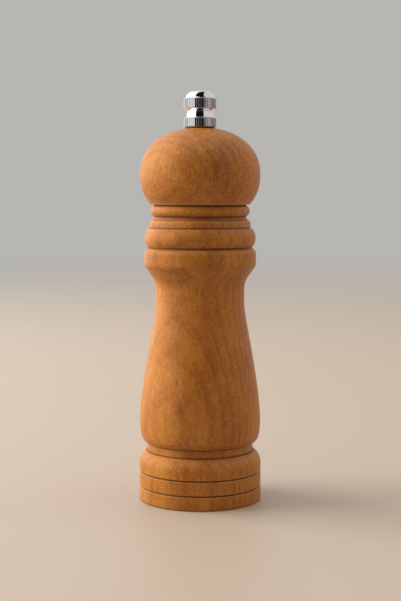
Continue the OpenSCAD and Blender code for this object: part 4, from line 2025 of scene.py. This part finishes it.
@dataclass
class Head:
    """Turned ball head with its tenon, its washers, the drive plate and the plate's screws.

    Attributes:
        mid_rise: height of the ball's widest place over its lower face.
        foot_d, top_d: diameters of its lower and upper faces.
        fullness: power of the superellipse.
        foot_edge: rounding at its lower face.
        tenon_r: radius of the tenon.
        bore_gap: clearance of the bore round the corners of the shaft.
        washer_bore_r, knob_washer_bore_r: bores of the two washers.
        plate_gap, pilot_gap: clearance of the plate's square hole, and of the screw holes.
        pilot_over: how much deeper the screw holes are than the screws.
        screws: the plate's screws.
    """

    mid_rise: float = 11.8
    foot_d: float = 39.9
    top_d: float = 14.3
    fullness: float = 2.2
    foot_edge: float = 0.4
    tenon_r: float = 11.8
    bore_gap: float = 0.4
    washer_bore_r: float = 12.5
    knob_washer_bore_r: float = 2.8
    plate_gap: float = 0.1
    pilot_gap: float = 0.05
    pilot_over: float = 0.5
    screws: ScrewSet = ScrewSet("drive_plate_pan_screws", "drive_plate_screws", Screw(2.0, 8.5, 0.8), 2)

    def _ball(self, radius: float, low: float, high: float) -> list[Point]:
        """The ball: two halves of a superellipse that end in flat faces.

        Args:
            radius: its largest radius.
            low: the height of its lower face.
            high: the height of its upper face.

        Returns:
            The points from the lower face to the upper one.
        """
        power = self.fullness
        rise = high - low - self.mid_rise
        low_half, top_half = (
            reach / (1 - (face / 2 / radius) ** power) ** (1 / power)
            for reach, face in ((self.mid_rise, self.foot_d), (rise, self.top_d))
        )
        start = -math.asin(((self.mid_rise - self.foot_edge) / low_half) ** (power / 2))
        stop = math.asin((rise / top_half) ** (power / 2))
        points = []
        for a in np.linspace(start, stop, 72):
            half = -low_half if a < 0 else top_half
            r = radius * math.cos(a) ** (2 / power)
            points.append((r, low + self.mid_rise + half * abs(math.sin(a)) ** (2 / power)))
        return points

    def make(self, workshop: Workshop, shaft_w: float) -> None:
        """Makes the head and what is fastened to it, and puts it in place.

        Args:
            workshop: the tools.
            shaft_w: the width of the square shaft.
        """
        place, washer = Place.of("head"), Place.of("slip_washer")
        bore_r = shaft_w / 2 * math.sqrt(2) + self.bore_gap
        low, top, tenon_z = washer.top, place.top, place.bottom
        ball = self._ball(place.radius, low, top)
        outline = Outline(
            [
                (bore_r, tenon_z),
                (self.tenon_r, tenon_z),
                (self.tenon_r, low),
                (ball[0][0] - self.foot_edge, low),
                *ball,
                (bore_r, top),
            ],
            ease=0.22,
            step=either(beyond(self.tenon_r + 0.2), 0.6, either(over(top - 1.5), 0.6, 3.0)),
            marks={"stain": scaled(1.0, beyond(bore_r + 0.3), over(low + 0.1))},
        )
        made = workshop.turn(outline, HEAD_WOOD, segments=168)
        seat = self.screws.seat
        pilots = self.screws.holes(self.pilot_gap, seat, seat + self.screws.screw.length + self.pilot_over)
        workshop.deliver("turned_head", "head", carved(made, pilots), sharp=40)
        self._plate(workshop, shaft_w)
        self.screws.make(workshop)
        # The two thin washers are near-black and almost glossless, so they are partly painted shade that stands in
        # for the dark lines between head and barrel and under the knob.
        washers = (
            ("head_slip_washer", "slip_washer", self.washer_bore_r),
            ("knob_seat_washer", "knob_washer", self.knob_washer_bore_r),
        )
        for name, node, bore in washers:
            workshop.deliver(name, node, workshop.turn(washer_outline(node, bore), SHADE_LINE_NYLON, segments=128))

    def _plate(self, workshop: Workshop, shaft_w: float) -> None:
        """Stamps the drive plate with its square hole and its screw holes.

        Args:
            workshop: the tools.
            shaft_w: the width of the square shaft.
        """
        place = Place.of("drive_plate")
        half = shaft_w / 2 + self.plate_gap
        hole_r = half * math.sqrt(2)
        flat = either(within(hole_r + 0.3), half * MM)
        outline = washer_outline("drive_plate", hole_r)
        outline.marks = {"flat_x": flat, "flat_y": flat}
        made = workshop.turn(outline, PLATE_ALUMINIUM)
        holes = self.screws.holes(self.pilot_gap, place.bottom - 1, place.top + 1)
        workshop.deliver("stamped_drive_plate", "drive_plate", carved(made, holes))


@dataclass
class Shaft:
    """Square drawn shaft with a clip groove at its foot and a thread on its end.

    Attributes:
        width: width across its flats.
        corner_r: radius over its rounded corners.
        groove_r: radius of the clip's groove.
        thread_r, thread_depth, pitch: outer radius, depth and pitch of the thread.
        thread_below: how far under the head's top the thread starts.
        tip_chamfer: chamfer at the upper end.
    """

    width: float = 5.0
    corner_r: float = 3.34
    groove_r: float = 2.0
    thread_r: float = 2.45
    thread_below: float = 4.6
    thread_depth: float = 0.42
    pitch: float = 0.8
    tip_chamfer: float = 0.5

    def make(self, workshop: Workshop) -> None:
        """Makes the shaft and puts it in place.

        Args:
            workshop: the tools.
        """
        place, clip = Place.of("shaft"), Place.of("retaining_clip")
        shoulder = Place.of("head").top - self.thread_below
        relief_h, relief_r = 0.9, self.thread_r - self.thread_depth
        foot, top = place.bottom, place.top
        cut = between(shoulder + relief_h + 0.5, top - self.tip_chamfer, 0.4)
        outline = Outline(
            [
                (0, foot),
                (self.corner_r - 0.6, foot),
                (self.corner_r, foot + 0.4),
                (self.corner_r, clip.bottom - 0.05),
                (self.groove_r, clip.bottom - 0.05),
                (self.groove_r, clip.top),
                (self.corner_r, clip.top),
                (self.corner_r, shoulder - 0.5),
                (self.thread_r, shoulder),
                (relief_r, shoulder + 0.3),
                (relief_r, shoulder + relief_h),
                (self.thread_r, shoulder + relief_h + 0.4),
                (self.thread_r, top - self.tip_chamfer),
                (self.thread_r - self.tip_chamfer, top),
                (0, top),
            ],
            closed=False,
            ease=0.08,
            step=either(scaled(1.0, over(shoulder + relief_h), beyond(relief_r)), self.pitch / 9, 5.0),
            marks={
                "flat_x": scaled(self.width / 2 * MM),
                "flat_y": scaled(self.width / 2 * MM),
                "thread_cut": scaled(-self.thread_depth, cut, beyond(self.thread_r - TOUCH)),
            },
        )
        made = workshop.turn(outline, SHAFT_STEEL, segments=96, crest=0.15, pitch=self.pitch)
        workshop.deliver("square_shaft", "shaft", made)


@dataclass
class Knob:
    """Chromed knob: two knurled bands with a smooth neck between them, a low dome and a threaded hole.

    Attributes:
        low_band_h, neck_h, top_band_h: heights of the lower band, the neck and the upper band.
        neck_r: radius of the neck.
        bevel: height of the bevel under the upper band.
        teeth, tooth_depth: number and depth of the knurls.
        edge: height of the bands' chamfers.
        thread_r, thread_depth, pitch: radius of the hole, and depth and pitch of its thread.
        hole_h: depth of the hole.
    """

    low_band_h: float = 3.95
    neck_h: float = 3.4
    top_band_h: float = 4.3
    neck_r: float = 5.05
    bevel: float = 0.95
    teeth: int = 48
    tooth_depth: float = 0.34
    edge: float = 0.3
    thread_r: float = 2.5
    thread_depth: float = 0.35
    hole_h: float = 11.8
    pitch: float = 0.8

    def make(self, workshop: Workshop) -> None:
        """Makes the knob and puts it in place.

        Args:
            workshop: the tools.
        """
        place = Place.of("knob")
        low, top, crest_r = place.bottom, place.top, place.radius
        root_r = crest_r - self.tooth_depth
        neck_z = low + self.low_band_h
        band_z = neck_z + self.neck_h
        dome_z = band_z + self.top_band_h
        dome_r, dome_h = root_r - 0.45, top - dome_z
        hole_top = low + self.hole_h
        dome = [
            (dome_r - dome_h * 1.15 * (1 - math.cos(a)), dome_z + dome_h * math.sin(a))
            for a in np.linspace(0.12, math.pi / 2, 14)
        ]
        thread = between(low + 0.5, hole_top - 0.6, 0.4)
        knurled = outwards(root_r, self.tooth_depth)
        in_thread = scaled(1.0, within(self.thread_r + 0.1), under(hole_top - 0.2))
        on_bore = scaled(1.0, beyond(self.thread_r - 2 * TOUCH), within(self.thread_r + 2 * TOUCH))
        outline = Outline(
            [
                (0, hole_top),
                (self.thread_r - 0.1, hole_top),
                (self.thread_r, hole_top - 0.3),
                (self.thread_r, low + 0.35),
                (self.thread_r + 0.35, low),
                (root_r - 0.1, low),
                (crest_r, low + self.edge),
                (crest_r, neck_z - self.edge),
                (root_r - 0.15, neck_z),
                (self.neck_r + 0.4, neck_z + 0.1),
                (self.neck_r + 0.3, neck_z + 1.2),
                (self.neck_r, band_z - self.bevel),
                (root_r - 0.05, band_z + 0.02),
                (crest_r, band_z + self.edge),
                (crest_r, dome_z - self.edge),
                (root_r - 0.05, dome_z),
                *dome,
                (0, top),
            ],
            closed=False,
            ease=0.1,
            step=either(in_thread, self.pitch / 6, 0.5),
            marks={
                "cut": scaled(-self.tooth_depth, knurled),
                "knurled": knurled,
                "thread_cut": scaled(self.thread_depth, thread, on_bore),
            },
        )
        sizes = {"segments": 8 * self.teeth, "crest": 0.5, "pitch": self.pitch}
        made = workshop.turn(outline, CHROME, **sizes, Teeth=self.teeth)
        workshop.deliver("chromed_knob", "knob", made, sharp=28)


# ---- The studio ----


@dataclass(frozen=True)
class Lamp:
    """A soft rectangular lamp.

    Attributes:
        name: its name.
        place: where it stands, in metres.
        size: its width and height, in metres.
        power: its power, in watts.
        colour: its colour.
        spread: how wide its beam opens, in degrees.
    """

    name: str
    place: Triple
    size: tuple[float, float]
    power: float
    colour: Colour = (1.0, 1.0, 1.0)
    spread: float = 180.0


@dataclass
class Studio:
    """Pale floor, soft light and the camera.

    Attributes:
        aim: what the lamps point at, in metres.
        camera_place: where the camera stands, in metres.
        camera_tilt: how far it looks down, in degrees.
        lens: its focal length, in millimetres, on a 36 mm sensor.
        floor_r: where the floor ends, in metres.
        floor_drop: how far it lies under the part, in millimetres.
        floor_grain: the layer that varies its roughness.
        floor_colour, wall_colour: the two colours that are seen.
        lamps: the lamps.
    """

    aim: Triple = (0.0, 0.0, 0.085)
    camera_place: Triple = (0.00014, -0.5115, 0.12265)
    camera_tilt: float = 4.64
    lens: float = 75.71
    floor_r: float = 3.0
    floor_drop: float = 0.02
    floor_grain: Layer = Layer.even(0.01)
    floor_colour: Colour = (0.45, 0.355, 0.27)
    wall_colour: Colour = (0.47, 0.465, 0.45)
    lamps: tuple[Lamp, ...] = (
        Lamp("window_lamp", (-1.20, 0.20, 0.70), (1.2, 1.2), 29.0, (0.97, 1.0, 1.02)),
        Lamp("far_side_lamp", (1.30, 0.35, 0.50), (0.8, 1.2), 2.8, (1.0, 0.90, 0.80)),
        Lamp("under_lamp", (0.0, 0.0, -0.45), (0.04, 0.04), 0.016, (1.0, 0.97, 0.94), 16.0),
    )

    def floor(self) -> bpy.types.Object:
        """Lays a round floor that fades into the wall's colour and can be seen only from above.

        Returns:
            The floor.
        """
        reach = self.floor_r / MM
        rim = [(x, y, -self.floor_drop) for x, y in disc(reach, steps=96)]
        made = solid("floor", rim, [tuple(range(len(rim)))])
        material = bpy.data.materials.new("pale_floor")
        material.use_nodes = True
        material.node_tree.nodes.clear()
        shader = Shader(material.node_tree)
        here = shader.millimetres()
        x, y, _ = here.parts
        faded = ((x * x + y * y) ** 0.5).step(0.1 * reach, 0.75 * reach)
        underneath = Value(shader, shader.node("ShaderNodeNewGeometry").outputs["Backfacing"])
        soft = shader.noise(here, self.floor_grain) * 0.05 + 0.5
        matt = shader.node(
            "ShaderNodeBsdfPrincipled", sockets={"Base Color": (*self.floor_colour, 1.0), "Roughness": soft}
        )
        clear = shader.node("ShaderNodeBsdfTransparent")
        sockets = {0: faded.most(underneath), 1: matt.outputs[0], 2: clear.outputs[0]}
        mixed = shader.node("ShaderNodeMixShader", sockets=sockets)
        shader.node("ShaderNodeOutputMaterial", sockets={"Surface": mixed.outputs[0]})
        made.materials.append(material)
        floor = bpy.data.objects.new("floor", made)
        bpy.context.scene.collection.objects.link(floor)
        return floor

    def sky(self) -> None:
        """Paints the room: a plain wall to the eye, a dim front for the light, and cards for the gloss."""
        world = bpy.data.worlds.new("studio")
        world.use_nodes = True
        world.node_tree.nodes.clear()
        shader = Shader(world.node_tree)
        facing = VectorValue(shader, shader.node("ShaderNodeTexCoord").outputs["Generated"])
        x, y, z = facing.parts
        left = (x * -1.0).step(-0.3, 0.9)
        front = (y * -1.0).step(0.48, 0.94)
        room = shader.mix(left, (0.20, 0.16, 0.12), (0.42, 0.40, 0.37))
        room = shader.mix(z.step(0.35, 0.97), room, (1.35, 1.35, 1.35))
        room = shader.mix(front, room, (0.012, 0.011, 0.010))
        room = shader.mix(z.step(-0.15, 0.0), (0.10, 0.08, 0.06), room)
        flag = 1.0 - (abs(x - y * 0.14 - 0.04) + y * 0.37).step(0.24, 0.31)
        cards = shader.mix(left, (0.66, 0.63, 0.61), (1.75, 1.85, 1.95))
        cards = shader.mix(flag, cards, (0.006, 0.006, 0.006))
        rays = shader.node("ShaderNodeLightPath").outputs
        colour = shader.mix(rays["Is Glossy Ray"], room, cards)
        colour = shader.mix(rays["Is Camera Ray"], colour, self.wall_colour)
        light = shader.node("ShaderNodeBackground", sockets={"Color": colour, "Strength": 1.0})
        shader.node("ShaderNodeOutputWorld", sockets={"Surface": light.outputs[0]})
        bpy.context.scene.world = world

    def light(self, floor: bpy.types.Object) -> None:
        """Sets up the lamps, and lets a lamp under the floor shine through it.

        Args:
            floor: the floor.
        """
        see_through = bpy.data.collections.new("see_through")
        see_through.objects.link(floor)
        see_through.collection_objects[0].light_linking.link_state = "EXCLUDE"
        for lamp in self.lamps:
            data = bpy.data.lights.new(lamp.name, "AREA")
            data.shape = "RECTANGLE"
            data.size, data.size_y = lamp.size
            data.energy = lamp.power
            data.color = lamp.colour
            data.spread = math.radians(lamp.spread)
            stand = bpy.data.objects.new(lamp.name, data)
            stand.location = lamp.place
            stand.rotation_euler = (Vector(self.aim) - stand.location).to_track_quat("-Z", "Y").to_euler()
            stand.visible_camera = False
            stand.visible_glossy = False
            if stand.location.z < 0:
                stand.light_linking.blocker_collection = see_through
            bpy.context.scene.collection.objects.link(stand)

    def camera(self) -> None:
        """Sets up the camera, level with the head and looking slightly down."""
        data = bpy.data.cameras.new("camera")
        data.lens = self.lens
        stand = bpy.data.objects.new("camera", data)
        stand.location = self.camera_place
        stand.rotation_euler = (math.radians(90 - self.camera_tilt), 0, 0)
        bpy.context.scene.collection.objects.link(stand)
        bpy.context.scene.camera = stand

    def make(self) -> None:
        """Sets up the whole studio."""
        self.camera()
        floor = self.floor()
        self.sky()
        self.light(floor)
        bpy.context.scene.view_settings.view_transform = "Standard"


def main() -> None:
    """Builds the mill's sub-assemblies and the studio."""
    logging.basicConfig(level=logging.INFO, format="%(name)s: %(message)s")
    workshop = Workshop()
    grinder = Grinder()
    grinder.make(workshop)
    Barrel(grinder).make(workshop)
    Head().make(workshop, grinder.shaft_w)
    Shaft().make(workshop)
    Knob().make(workshop)
    Studio().make()


if __name__ == "__main__":
    main()
